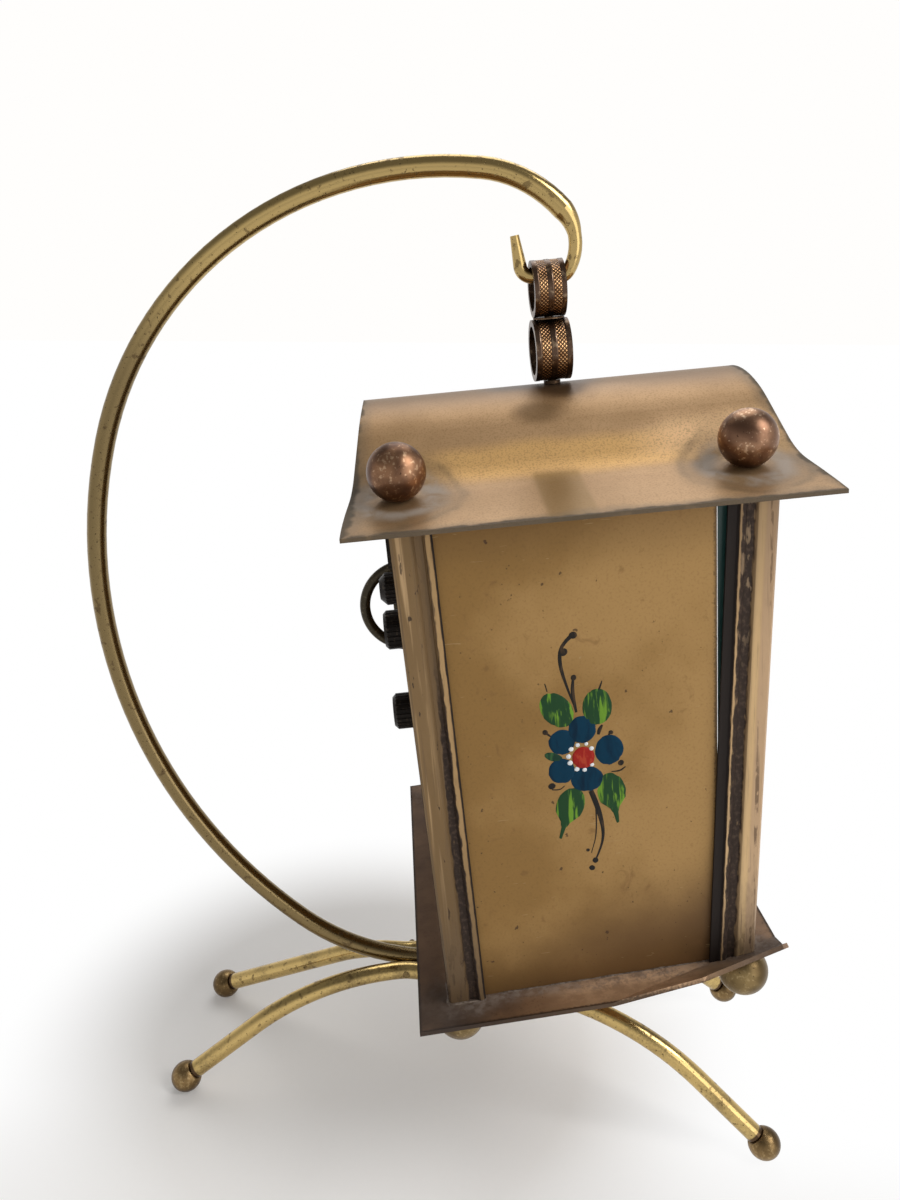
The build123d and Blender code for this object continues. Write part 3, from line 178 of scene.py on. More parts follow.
class Recipe:
    """Builds one procedural material around its Principled shader."""

    def __init__(self, name: str) -> None:
        """Start a material.

        Args:
            name: the material's name.
        """
        self.material = bpy.data.materials.new(name)
        self.material.use_nodes = True
        self.tree = self.material.node_tree
        self.shader = self.tree.nodes["Principled BSDF"]

    def node(
        self,
        kind: str,
        settings: dict[str, object] | None = None,
        inputs: dict[str | int, object] | None = None,
        output: str | int = 0,
    ) -> Signal:
        """Add a node.

        Args:
            kind: the node's type.
            settings: its attributes, set before its sockets.
            inputs: values or signals by socket name or number.
            output: the output socket that is wanted.

        Returns:
            That output.
        """
        node = self.tree.nodes.new(kind)
        for name, value in (settings or {}).items():
            setattr(node, name, value)
        for name, value in (inputs or {}).items():
            plug(self.tree, node.inputs[name], value)
        return Signal(self.tree, node.outputs[output])

    def place(self, axes: Axes) -> Signal:
        """Return the place on the surface.

        Args:
            axes: the axes to measure it along.

        Returns:
            The place, in millimetres.
        """
        point = self.node("ShaderNodeTexCoord", output="Object")
        scale = (MM, MM, MM)
        inputs = {"Vector": point, "Location": axes.origin, "Rotation": axes.radians(), "Scale": scale}
        return self.node("ShaderNodeMapping", {"vector_type": "TEXTURE"}, inputs)

    def split(self, vector: Signal) -> list[Signal]:
        """Return a vector's three parts."""
        first = self.node("ShaderNodeSeparateXYZ", inputs={0: vector})
        return [Signal(self.tree, out) for out in first.socket.node.outputs]

    def stretch(self, vector: Signal, by: Point) -> Signal:
        """Return a vector multiplied part by part."""
        return self.node("ShaderNodeVectorMath", {"operation": "MULTIPLY"}, {0: vector, 1: by})

    def noise(self, vector: Signal, scale: float, detail: float = 3.0, warp: float = 0.0) -> Signal:
        """Return smooth noise from 0 to 1.

        Args:
            vector: where to read it.
            scale: repeats in a millimetre.
            detail: octaves.
            warp: distortion.
        """
        inputs = {"Vector": vector, "Scale": scale, "Detail": detail, "Distortion": warp}
        return self.node("ShaderNodeTexNoise", inputs=inputs)

    def dots(self, vector: Signal, scale: float, size: float) -> Signal:
        """Return scattered round spots, 1 inside them.

        Args:
            vector: where to read them.
            scale: spots in a millimetre.
            size: radius of a spot as a share of the spacing.
        """
        inputs = {"Vector": vector, "Scale": scale, "Randomness": 1.0}
        apart = self.node("ShaderNodeTexVoronoi", inputs=inputs)
        return self.ramp(apart, size, 0.6 * size)

    def ramp(self, value: Signal, start: float, end: float) -> Signal:
        """Return a smooth step.

        Args:
            value: what is read.
            start: where the step is 0.
            end: where it is 1, above or below the start.
        """
        low, high = sorted((start, end))
        goes = (0.0, 1.0) if start < end else (1.0, 0.0)
        inputs = {"Value": value, "From Min": low, "From Max": high, "To Min": goes[0], "To Max": goes[1]}
        return self.node("ShaderNodeMapRange", {"interpolation_type": "SMOOTHSTEP"}, inputs)

    def mix(self, share: "Signal | float", a: object, b: object) -> Signal:
        """Return colour a where share is 0 and colour b where it is 1."""
        inputs = {0: share, 6: a, 7: b}
        return self.node("ShaderNodeMix", {"data_type": "RGBA"}, inputs, 2)

    def span(self, x: Signal, y: Signal) -> Signal:
        """Return the length of the vector (x, y)."""
        return (x * x + y * y).root()

    def bump(self, height: Signal, strength: float = 1.0) -> Signal:
        """Return a normal raised by a height in millimetres."""
        return self.node("ShaderNodeBump", inputs={"Height": height, "Distance": MM, "Strength": strength})

    def finish(
        self, colour: object, roughness: object, metallic: object, normal: Signal | None = None
    ) -> None:
        """Connect the shader.

        Args:
            colour: base colour.
            roughness: roughness.
            metallic: share of bare metal.
            normal: bumped normal, if any.
        """
        for name, value in (("Base Color", colour), ("Roughness", roughness), ("Metallic", metallic)):
            plug(self.tree, self.shader.inputs[name], value)
        if normal is not None:
            plug(self.tree, self.shader.inputs["Normal"], normal)

    def blend(self, share: Signal, other: Signal) -> None:
        """Show another shader in place of the material's own.

        Args:
            share: how much of the other shader shows, from 0 to 1.
            other: the other shader.
        """
        own = Signal(self.tree, self.shader.outputs[0])
        mixed = self.node("ShaderNodeMixShader", inputs={0: share, 1: own, 2: other})
        plug(self.tree, self.tree.nodes["Material Output"].inputs["Surface"], mixed)

    def fixed(self, name: str, value: object) -> None:
        """Set one of the shader's own sockets to a constant."""
        plug(self.tree, self.shader.inputs[name], value)


class Coat:
    """A colour that is built up layer by layer."""

    def __init__(self, recipe: Recipe, colour: object) -> None:
        """Start with one colour.

        Args:
            recipe: the material's recipe.
            colour: the lowest layer.
        """
        self.recipe = recipe
        self.colour = colour

    def over(self, share: "Signal | float", colour: object) -> None:
        """Put a layer on top.

        Args:
            share: how much of it covers what lies below, from 0 to 1.
            colour: its colour.
        """
        self.colour = self.recipe.mix(share, self.colour, colour)


# ---- finishes ----------------------------------------------------------------------------------
@dataclass(frozen=True)
class Finish:
    """A finish of the clock; subclasses describe it in nodes.

    Args:
        name: the material's name.
    """

    name: str

    def make(self) -> bpy.types.Material:
        """Return the material."""
        recipe = Recipe(self.name)
        self.describe(recipe)
        return recipe.material

    def describe(self, r: Recipe) -> None:
        """Build the nodes; a subclass does this."""
        raise NotImplementedError


@dataclass(frozen=True)
class RoofLacquer(Finish):
    """Speckled champagne lacquer on the roof, with a painted golden sheen along the slope, painted
    reflections of the hanging ring and hook, and painted shadow and pale haze round the balls.

    Args:
        pale: the lacquer's lighter tone.
        deep: its darker tone.
        gold: painted sheen, a golden band along the foot of the slope.
        sheen: painted highlight at the front end of that band.
        speckle: fine speckle all over.
        amber: painted reflection of the ring and hook at the middle of the eave.
        umber: worn top of the ridge.
        soot: painted reflection of the ring, round where it stands on the ridge.
        dust: dust at the ring's foot.
        scorch: small painted reflection beside the ring.
        ghost: fainter painted reflection below it.
        halo: painted shadow round the balls.
        haze: pale haze round the balls.
        tide: thin line round the haze.
        grime: dirt along the edges.
        worn: chipped edges.
        balls: the near back ball's place, from the balls' middle.
        balls_y: the balls' middle along Y.
        half_x: from the ridge to the eaves.
        half_y: from the roof's middle to its ends, at the ridge.
        flare: how fast the ends spread towards the eaves.
        middle_y: the roof's middle along Y.
    """

    pale: Colour = (0.47, 0.295, 0.15)
    deep: Colour = (0.37, 0.225, 0.105)
    gold: Colour = (0.67, 0.40, 0.145)
    sheen: Colour = (0.95, 0.62, 0.34)
    speckle: Colour = (0.235, 0.135, 0.055)
    amber: Colour = (0.22, 0.125, 0.026)
    umber: Colour = (0.20, 0.125, 0.07)
    soot: Colour = (0.13, 0.075, 0.035)
    dust: Colour = (0.17, 0.14, 0.12)
    scorch: Colour = (0.09, 0.05, 0.024)
    ghost: Colour = (0.15, 0.085, 0.035)
    halo: Colour = (0.17, 0.115, 0.065)
    haze: Colour = (0.40, 0.36, 0.32)
    tide: Colour = (0.15, 0.10, 0.05)
    grime: Colour = (0.16, 0.115, 0.07)
    worn: Colour = (0.062, 0.052, 0.038)
    balls: tuple[float, float] = (35.8, 34.9)
    balls_y: float = 2.0
    half_x: float = 52.0
    half_y: float = 42.8
    flare: float = 0.085
    middle_y: float = 0.6

    def slopes(self, r: Recipe, coat: Coat, slope: Signal, y: Signal) -> None:
        """Lay the painted golden sheen along each slope, with a painted highlight at its front end.

        Args:
            r: the recipe.
            coat: the colour so far.
            slope: wavering distance from the ridge.
            y: place along the ridge.
        """
        # painted sheen: a golden band along each slope, with a painted highlight at its front end
        band = r.ramp(slope, 20.5, 24.5) * r.ramp(slope, 32.5, 28.5)
        coat.over(band * r.ramp(y, 42.0, 22.0) * 0.85, self.gold)
        front = r.ramp(slope, 17.0, 24.0) * r.ramp(slope, 31.0, 26.0) * r.ramp(y, -8.0, -26.0)
        coat.over(front * 0.8, self.sheen)

    def ring_stain(self, r: Recipe, coat: Coat, p: Signal) -> None:
        """Paint reflections of the ring on the ridge where it stands, and dust at its foot.

        Args:
            r: the recipe.
            coat: the colour so far.
            p: place in the lantern's axes.
        """
        x, y, _ = r.split(p)
        side = abs(x)
        drift = r.noise(p, 0.10, 4.0).swing(12.0)
        # painted reflection of the ring, round where it stands on the ridge
        ring_reflection_mask = r.ramp(r.span(x * 0.7 + drift * 0.6, y + 0.5), 12.0, 3.0)
        coat.over(ring_reflection_mask * r.ramp(side + drift * 0.4, 19.0, 9.0) * 0.8, self.soot)
        dust = r.ramp(r.span(x * 1.2 + drift * 0.2, y - 3.0 + drift * 0.3), 17.0, 8.0)
        coat.over(dust * r.ramp(side, 7.0, 1.0) * 0.75, self.dust)
        # painted reflections of the ring: a small dark one beside it and a fainter one below
        spot = r.ramp(r.span(x + 5.5, (y + 1.0) * 0.8) + drift * 0.25, 6.0, 2.5)
        coat.over(spot * 0.85, self.scorch)
        faint_reflection_mask = r.ramp(r.span(x + 14.5, (y - 5.5) * 0.6) + drift * 0.25, 4.5, 1.5)
        coat.over(faint_reflection_mask * 0.65, self.ghost)

    def ball_haze(self, r: Recipe, coat: Coat, p: Signal) -> Signal:
        """Lay painted shadow and pale haze round the balls.

        Args:
            r: the recipe.
            coat: the colour so far.
            p: place in the lantern's axes.

        Returns:
            Where the haze lies.
        """
        x, y, _ = r.split(p)
        ball = r.span(abs(x) - self.balls[0], abs(y - self.balls_y) - self.balls[1])
        swirl = ball + r.noise(p, 0.10, 4.0, 0.3).swing(6.0)
        ring = r.ramp(swirl, 11.5, 7.5) * r.ramp(swirl, 4.0, 7.0)
        # painted shadow round each ball
        coat.over(r.ramp(swirl, 17.0, 9.0) * 0.55, self.halo)
        wisp = r.ramp(r.noise(p, 0.22, 5.0, 0.4), 0.26, 0.58)
        coat.over(ring * wisp * 0.62, self.haze)
        line = r.ramp(abs(swirl - 13.0), 1.6, 0.2) * r.ramp(r.noise(p, 0.09, 2.0), 0.42, 0.6)
        coat.over(line * 0.4, self.tide)
        return ring

    def edges(self, r: Recipe, coat: Coat, p: Signal, cloud: Signal) -> Signal:
        """Dirty and chip the roof's edges.

        Args:
            r: the recipe.
            coat: the colour so far.
            p: place in the lantern's axes.
            cloud: the lacquer's slow noise.

        Returns:
            Where the lacquer is chipped.
        """
        x, y, _ = r.split(p)
        side = abs(x)
        ends = (side * self.flare + self.half_y) - abs(y - self.middle_y)
        edge = (self.half_x - side).least(ends)
        ragged = r.noise(p, 0.30, 6.0).swing(3.0)
        chip = r.ramp(edge + ragged, 1.3, 0.2)
        coat.over(r.ramp(edge + cloud.swing(4.0) + ragged, 3.8, 0.6) * 0.5, self.grime)
        coat.over(chip * 0.78, self.worn)
        return chip

    def describe(self, r: Recipe) -> None:
        """Build the nodes."""
        p = r.place(LANTERN)
        x, y, _ = r.split(p)
        side = abs(x)
        cloud = r.noise(p, 0.045, 4.0)
        grain = r.noise(p, 2.4, 3.0)
        coat = Coat(r, r.mix(r.ramp(cloud, 0.3, 0.7), self.deep, self.pale))
        self.slopes(r, coat, side + cloud.swing(5.0), y)
        coat.over(r.ramp(grain, 0.46, 0.68) * 0.42, self.speckle)
        # painted reflection of the ring and hook: a darker golden strip at the middle of the eave
        reflection_patch = r.ramp(abs(y - 4.8) + grain.swing(1.0), 5.4, 4.0) * r.ramp(side, 29.0, 31.5)
        coat.over(reflection_patch * 0.62, self.amber)
        coat.over(r.ramp(side + cloud.swing(6.0), 15.0, 3.0) * 0.7, self.umber)
        self.ring_stain(r, coat, p)
        haze = self.ball_haze(r, coat, p)
        chip = self.edges(r, coat, p, cloud)
        rough = 0.33 + grain * 0.14 + haze * 0.2 + chip * 0.2 - reflection_patch * 0.05
        height = grain * 0.012 + r.noise(p, 0.12, 2.0) * 0.06 - chip * 0.02
        r.finish(coat.colour, rough, 0.5 - chip * 0.3 - haze * 0.3, r.bump(height))
        r.fixed("Specular IOR Level", 0.25)


@dataclass(frozen=True)
class PanelLacquer(Finish):
    """Deeper satin gold lacquer of the side panels and the back cover, with specks and stains.

    Args:
        pale: the lacquer's lighter tone, towards the front.
        deep: its darker tone, towards the back; this fall from front to back is a painted falloff of the
            light.
        low: darker foot, painted shade under the roof along the brow, and dark grain.
        nook: painted soft shadow in the front corner of the foot.
        stain: blurred spots.
        speck: small sharp specks.
        scratch: fine bright scratches.
        worn: rubbed front edge.
        front_y: the front edge's place.
        foot_z: the foot's place.
    """

    pale: Colour = (0.365, 0.218, 0.08)
    deep: Colour = (0.25, 0.14, 0.043)
    low: Colour = (0.125, 0.066, 0.026)
    nook: Colour = (0.075, 0.038, 0.016)
    stain: Colour = (0.15, 0.075, 0.03)
    speck: Colour = (0.06, 0.032, 0.018)
    scratch: Colour = (0.42, 0.30, 0.15)
    worn: Colour = (0.07, 0.042, 0.024)
    front_y: float = -24.0
    foot_z: float = -126.0

    def describe(self, r: Recipe) -> None:
        """Build the nodes."""
        p = r.place(LANTERN)
        _, y, z = r.split(p)
        cloud = r.noise(p, 0.04, 4.0)
        grain = r.noise(p, 1.8, 4.0)
        # lighter towards the front and darker towards the back: painted falloff of the light
        coat = Coat(r, r.mix(r.ramp(cloud - y * 0.008, 0.3, 0.68), self.deep, self.pale))
        coat.over(r.ramp(z + y * 0.35 + cloud.swing(20.0), -97.0, -125.0) * 0.9, self.low)
        # painted soft shadow in the front corner of the foot
        corner = r.span((y - self.front_y) * 1.6, (z - self.foot_z) * 0.5)
        coat.over(r.ramp(corner + cloud.swing(8.0), 20.0, 4.0) * 0.45, self.nook)
        # painted shade under the roof along the top of the panel
        coat.over(r.ramp(z + cloud.swing(10.0), -32.0, -18.0) * 0.4, self.low)
        coat.over(r.ramp(grain, 0.48, 0.75) * 0.22, self.low)
        stain = r.ramp(r.noise(p, 0.20, 6.0, 1.0), 0.62, 0.74)
        coat.over(stain * 0.38, self.stain)
        speck = r.ramp(r.noise(p, 0.5, 3.0), 0.71, 0.75)
        fine = r.dots(p, 0.6, 0.12) * r.ramp(r.noise(p, 0.1, 2.0), 0.5, 0.64)
        coat.over(speck.most(fine * 0.8) * 0.8, self.speck)
        streak = r.noise(r.stretch(p, (0.3, 0.3, 2.4)), 0.5, 2.0, 1.2)
        coat.over(r.ramp(streak, 0.735, 0.75) * 0.35, self.scratch)
        rubbed = r.ramp(y - self.front_y + grain.swing(1.4), 1.4, 0.7)
        coat.over(rubbed * 0.7, self.worn)
        rough = 0.38 + grain * 0.12 + stain * 0.1
        height = grain * 0.008 + r.noise(p, 0.07, 2.0) * 0.08 - speck * 0.02
        r.finish(coat.colour, rough, 0.3, r.bump(height))
        r.fixed("Specular IOR Level", 0.2)


@dataclass(frozen=True)
class PostMarks:
    """What the layers of a post's finish share.

    Args:
        z: height in the lantern's axes.
        leg: distance from the post's outer corner along either flank.
        back: 1 on the back posts.
        front: 1 on the front posts.
        grain: fine upright grain.
        fleck: flecks as long as they are wide.
        hair: hair-fine upright lines.
        band: long upright streaks.
        cloud: slow noise.
        foot: 1 at the foot.
    """

    z: Signal
    leg: Signal
    back: Signal
    front: Signal
    grain: Signal
    fleck: Signal
    hair: Signal
    band: Signal
    cloud: Signal
    foot: Signal


@dataclass(frozen=True)
class PostPaint(Finish):
    """Cream-gold lacquer of the corner posts, worn to dark metal along the flute.

    Args:
        pale: the lacquer's lighter tone.
        deep: its darker tone.
        aged: yellowed lacquer, also used as painted shade over the back posts and under the roof on the front
            posts.
        bead: bead beside the panel on the back posts.
        cream: strip beside the flute on the front posts.
        rose: outer strip of the front posts.
        streak: dark upright streaks.
        foot: dirt at the foot.
        hollow: shade in the flute.
        eave: shade under the roof.
        ashen: old lacquer low on the back posts.
        groove: lacquer left in the flute.
        remnant: patches of lacquer in the worn flute.
        flange: near-black flange beside the glass, dark metal with a painted shadow of the gap there.
        worn: bare dark metal.
        bare: bare lighter metal.
        half_top: from the case's middle to the outer corners under the roof.
        top: depth of that corner below the ridge.
        lean: lean of the front posts, then of the back posts.
        case_y: the case's middle along Y.
        half_x: from the case's middle to the posts' outer faces.
    """

    pale: Colour = (0.56, 0.38, 0.20)
    deep: Colour = (0.43, 0.275, 0.135)
    aged: Colour = (0.165, 0.10, 0.042)
    bead: Colour = (0.33, 0.205, 0.085)
    cream: Colour = (0.66, 0.46, 0.235)
    rose: Colour = (0.50, 0.345, 0.225)
    streak: Colour = (0.10, 0.06, 0.035)
    foot: Colour = (0.11, 0.075, 0.05)
    hollow: Colour = (0.13, 0.08, 0.04)
    eave: Colour = (0.19, 0.12, 0.065)
    ashen: Colour = (0.11, 0.07, 0.035)
    groove: Colour = (0.11, 0.07, 0.038)
    remnant: Colour = (0.26, 0.18, 0.11)
    flange: Colour = (0.017, 0.012, 0.010)
    worn: Colour = (0.034, 0.022, 0.016)
    bare: Colour = (0.08, 0.052, 0.037)
    half_top: float = 37.5
    top: float = 17.34
    lean: tuple[float, float] = (0.03766, 0.01929)
    case_y: float = 2.0
    half_x: float = 47.0

    def read(self, r: Recipe, p: Signal) -> PostMarks:
        """Return the places and noises that the layers share.

        Args:
            r: the recipe.
            p: place in the lantern's axes.
        """
        x, y, z = r.split(p)
        back = r.ramp(y, self.case_y - 0.1, self.case_y + 0.1)
        lean = self.lean[0] + back * (self.lean[1] - self.lean[0])
        across = (z + self.top) * lean + self.half_top - abs(y - self.case_y)
        along = r.stretch(p, (1.0, 1.0, 0.22))
        fleck = r.noise(r.stretch(p, (1.0, 1.0, 0.35)), 0.8, 6.0, 0.3)
        return PostMarks(
            z=z,
            leg=(self.half_x - abs(x)).most(across),
            back=back,
            front=1.0 - back,
            grain=r.noise(along, 1.4, 5.0),
            fleck=fleck,
            hair=r.noise(r.stretch(p, (1.6, 1.6, 0.05)), 1.3, 4.0),
            band=r.noise(r.stretch(p, (1.0, 1.0, 0.03)), 0.75, 3.0, 0.2),
            cloud=r.noise(along, 0.07, 3.0),
            foot=r.ramp(z + fleck.swing(30.0), -98.0, -124.0),
        )

    def faces(self, r: Recipe, coat: Coat, m: PostMarks) -> Signal:
        """Age and streak the flat faces, and paint shade over the back posts and under the roof.

        Args:
            r: the recipe.
            coat: the colour so far.
            m: the post's marks.

        Returns:
            Where the lacquer is scraped.
        """
        # painted shade over the back posts
        coat.over(m.back * r.ramp(m.leg, 6.9, 6.2) * (0.62 + m.cloud * 0.5), self.aged)
        # back posts darker towards the foot
        coat.over(m.back * r.ramp(m.z, -62.0, -104.0) * 0.62, self.aged)
        # painted shade under the roof on the front posts
        coat.over(m.front * r.ramp(m.z, -44.0, -22.0) * 0.35, self.aged)
        coat.over(m.back * r.ramp(m.leg, 6.3, 6.8) * 0.6, self.bead)
        coat.over(r.ramp(m.grain, 0.5, 0.8) * 0.35, self.aged)
        fresh = r.ramp(m.band, 0.50, 0.66) * r.ramp(m.leg, 4.2, 3.2) * r.ramp(m.z, -122.0, -70.0)
        coat.over(m.back * fresh * 0.7, self.pale)
        coat.over(m.front * r.ramp(m.leg, 2.2, 2.9) * r.ramp(m.leg, 4.4, 3.9) * 0.55, self.cream)
        coat.over(m.front * r.ramp(m.leg, 2.9, 2.1) * 0.55, self.rose)
        streak = r.ramp(m.band, 0.56, 0.66) * r.ramp(m.fleck, 0.44, 0.56)
        coat.over(m.front * streak * r.ramp(abs(m.leg - 1.5), 1.1, 0.5) * 0.75, self.streak)
        scrape = r.ramp(m.hair, 0.58, 0.68) * (0.4 + m.foot * 0.6)
        coat.over(scrape * 0.6, self.bare)
        coat.over(m.foot * 0.55, self.foot)
        return scrape

    def flute(self, r: Recipe, coat: Coat, m: PostMarks, p: Signal) -> Signal:
        """Shade the flute and wear it to the metal.

        Args:
            r: the recipe.
            coat: the colour so far.
            m: the post's marks.
            p: place in the lantern's axes.

        Returns:
            Where the metal is bare.
        """
        edge = m.leg + m.fleck.swing(1.3)
        start = 4.35 + m.back * r.ramp(m.z, -100.0, -45.0) * 0.95
        outer = 6.7 + m.front * 0.55
        flute = r.ramp(edge - start, 0.0, 0.4) * r.ramp(edge - outer, 0.25, -0.1)
        coat.over(r.ramp(m.leg, 3.4, 4.6) * r.ramp(m.leg, 6.6, 5.4) * 0.55, self.hollow)
        coat.over(m.front * r.ramp(m.z, -56.0, -24.0) * 0.45, self.eave)
        coat.over(m.back * r.ramp(m.z, -75.0, -110.0) * 0.35, self.ashen)
        coat.over(flute * 0.45, self.groove)
        low = r.ramp(m.z + m.cloud.swing(40.0), -42.0, -62.0)
        gone = m.front.most(low) * r.ramp(m.fleck + m.hair * 0.5, 1.04, 0.90)
        chips = r.ramp(m.fleck, 0.665, 0.70) * r.ramp(m.cloud + m.foot * 0.1, 0.48, 0.6)
        # the flange beside the glass: dark metal with a painted shadow of the gap there
        flange = r.ramp(m.leg + m.fleck.swing(0.5), 7.65, 7.95)
        wear = (flute * gone).most(flange * 0.9).most(chips * 0.85)
        wear = wear.most(m.foot * r.ramp(m.fleck, 0.50, 0.62) * 0.5)
        coat.over(wear, r.mix(r.ramp(r.noise(p, 1.1, 4.0), 0.45, 0.72), self.worn, self.bare))
        high = r.ramp(m.z + m.cloud.swing(60.0), -70.0, -40.0)
        coat.over(flute * m.front * r.ramp(m.fleck, 0.56, 0.62) * high * 0.7, self.remnant)
        # near-black flange: dark metal and a painted shadow of the gap beside the glass
        coat.over(flange, self.flange)
        rim = r.ramp(edge, 6.45, 6.65) * r.ramp(edge, 6.95, 6.8)
        coat.over(rim * 0.55, self.worn)
        return wear

    def describe(self, r: Recipe) -> None:
        """Build the nodes."""
        p = r.place(LANTERN)
        m = self.read(r, p)
        coat = Coat(r, r.mix(r.ramp(m.cloud, 0.3, 0.7), self.deep, self.pale))
        scrape = self.faces(r, coat, m)
        wear = self.flute(r, coat, m, p)
        rough = 0.38 + wear * 0.16 + m.grain * 0.1
        height = m.grain * 0.02 - wear * 0.04 - scrape * 0.02
        r.finish(coat.colour, rough, 0.25 + wear * 0.1, r.bump(height))
        r.fixed("Specular IOR Level", 0.25)


@dataclass(frozen=True)
class PlatePatina(Finish):
    """Brown patina of the bottom plate, with grey flux haze round the posts and panels.

    Args:
        brown: the patina's darker tone.
        copper: its lighter tone.
        soot: dark brushed streaks.
        pit: dark grain.
        flux: flux film along the walls.
        haze: grey crust on it.
        flank: back end of the plate.
        lip: rubbed side lips.
        bright: bright copper at the middle of each lip.
        edge: dark edges.
        corner: burnt corners.
        wall_x: from the middle to the side panels.
        posts: the back posts' feet, from the posts' middle.
        posts_y: the posts' middle along Y.
        half: half of the plate's width and length.
        plate_y: the plate's middle along Y.
    """

    brown: Colour = (0.125, 0.078, 0.052)
    copper: Colour = (0.29, 0.175, 0.10)
    soot: Colour = (0.075, 0.046, 0.03)
    pit: Colour = (0.05, 0.031, 0.022)
    flux: Colour = (0.15, 0.115, 0.092)
    haze: Colour = (0.36, 0.30, 0.255)
    flank: Colour = (0.09, 0.046, 0.022)
    lip: Colour = (0.46, 0.29, 0.17)
    bright: Colour = (0.56, 0.36, 0.215)
    edge: Colour = (0.035, 0.024, 0.018)
    corner: Colour = (0.055, 0.04, 0.032)
    wall_x: float = 46.4
    posts: tuple[float, float] = (45.0, 31.5)
    posts_y: float = 2.6
    half: tuple[float, float] = (54.2, 41.25)
    plate_y: float = 3.05

    def solder(self, r: Recipe, coat: Coat, p: Signal, drift: Signal) -> tuple[Signal, Signal]:
        """Lay the film and crust of flux along the walls and round the posts.

        Args:
            r: the recipe.
            coat: the colour so far.
            p: place in the lantern's axes.
            drift: slow wavering, in millimetres.

        Returns:
            Where the film and where the crust lies.
        """
        x, y, _ = r.split(p)
        wall = abs(abs(x) - self.wall_x)
        foot = r.span(abs(x) - self.posts[0], abs(y - self.posts_y) - self.posts[1])
        near = (r.ramp(wall + drift * 0.5, 4.5, 0.5) * 0.9).most(r.ramp(foot + drift, 11.0, 4.0))
        crust = near * r.ramp(r.noise(p, 0.7, 6.0), 0.36, 0.66)
        coat.over(near * 0.4, self.flux)
        coat.over(crust * 0.42, self.haze)
        return near, crust

    def lips(self, r: Recipe, coat: Coat, p: Signal, cloud: Signal, worked: Signal, drift: Signal) -> None:
        """Rub the side lips bright and darken the back end.

        Args:
            r: the recipe.
            coat: the colour so far.
            p: place in the lantern's axes.
            cloud: the patina's slow noise.
            worked: the patina's streaks and grain together.
            drift: slow wavering, in millimetres.
        """
        x, y, _ = r.split(p)
        side = abs(x)
        coat.over(r.ramp(y + drift * 0.6, 34.0, 40.0) * r.ramp(side, 54.0, 46.0) * 0.7, self.flank)
        lip = r.ramp(y + cloud.swing(30.0), 26.0, 8.0) * r.ramp(side + cloud.swing(4.0), 47.5, 50.5)
        coat.over(lip * r.ramp(y, -38.0, -20.0) * 0.75, self.lip)
        middle = r.ramp(r.span((side - 50.5) * 1.3, (y + 6.0) * 0.36) + drift * 0.5, 10.0, 3.0)
        coat.over(middle * (r.ramp(worked, 0.36, 0.62) * 0.75 + 0.25) * 0.95, self.bright)

    def rims(self, r: Recipe, coat: Coat, p: Signal, grain: Signal) -> None:
        """Darken the plate's edges and its near corners.

        Args:
            r: the recipe.
            coat: the colour so far.
            p: place in the lantern's axes.
            grain: the patina's fine noise.
        """
        x, y, _ = r.split(p)
        rim = (self.half[0] - abs(x)).least(self.half[1] - abs(y - self.plate_y))
        coat.over(r.ramp(rim + grain.swing(0.8), 0.8, 0.25) * 0.85, self.edge)
        front = r.ramp(r.span(x + 52.0, (y + 36.0) * 0.5), 13.0, 4.0)
        back = r.ramp(r.span(x + 52.0, y - 42.0), 16.0, 6.0)
        coat.over(front.most(back) * 0.6, self.corner)

    def describe(self, r: Recipe) -> None:
        """Build the nodes."""
        p = r.place(LANTERN)
        cloud = r.noise(p, 0.07, 4.0)
        grain = r.noise(p, 1.6, 5.0)
        brushed = r.noise(r.stretch(p, (1.0, 0.6, 1.0)), 0.45, 5.0)
        drift = r.noise(p, 0.14, 4.0).swing(8.0)
        coat = Coat(r, r.mix(r.ramp(cloud, 0.35, 0.68), self.brown, self.copper))
        coat.over(r.ramp(brushed, 0.48, 0.72) * 0.4, self.soot)
        coat.over(r.ramp(grain, 0.56, 0.72) * 0.35, self.pit)
        near, crust = self.solder(r, coat, p, drift)
        self.lips(r, coat, p, cloud, brushed + grain.swing(0.5), drift)
        self.rims(r, coat, p, grain)
        rough = 0.36 + near * 0.25 + grain * 0.12
        r.finish(coat.colour, rough, 0.55 - near * 0.4, r.bump(grain * 0.02 + crust * 0.05))
        r.fixed("Specular IOR Level", 0.2)


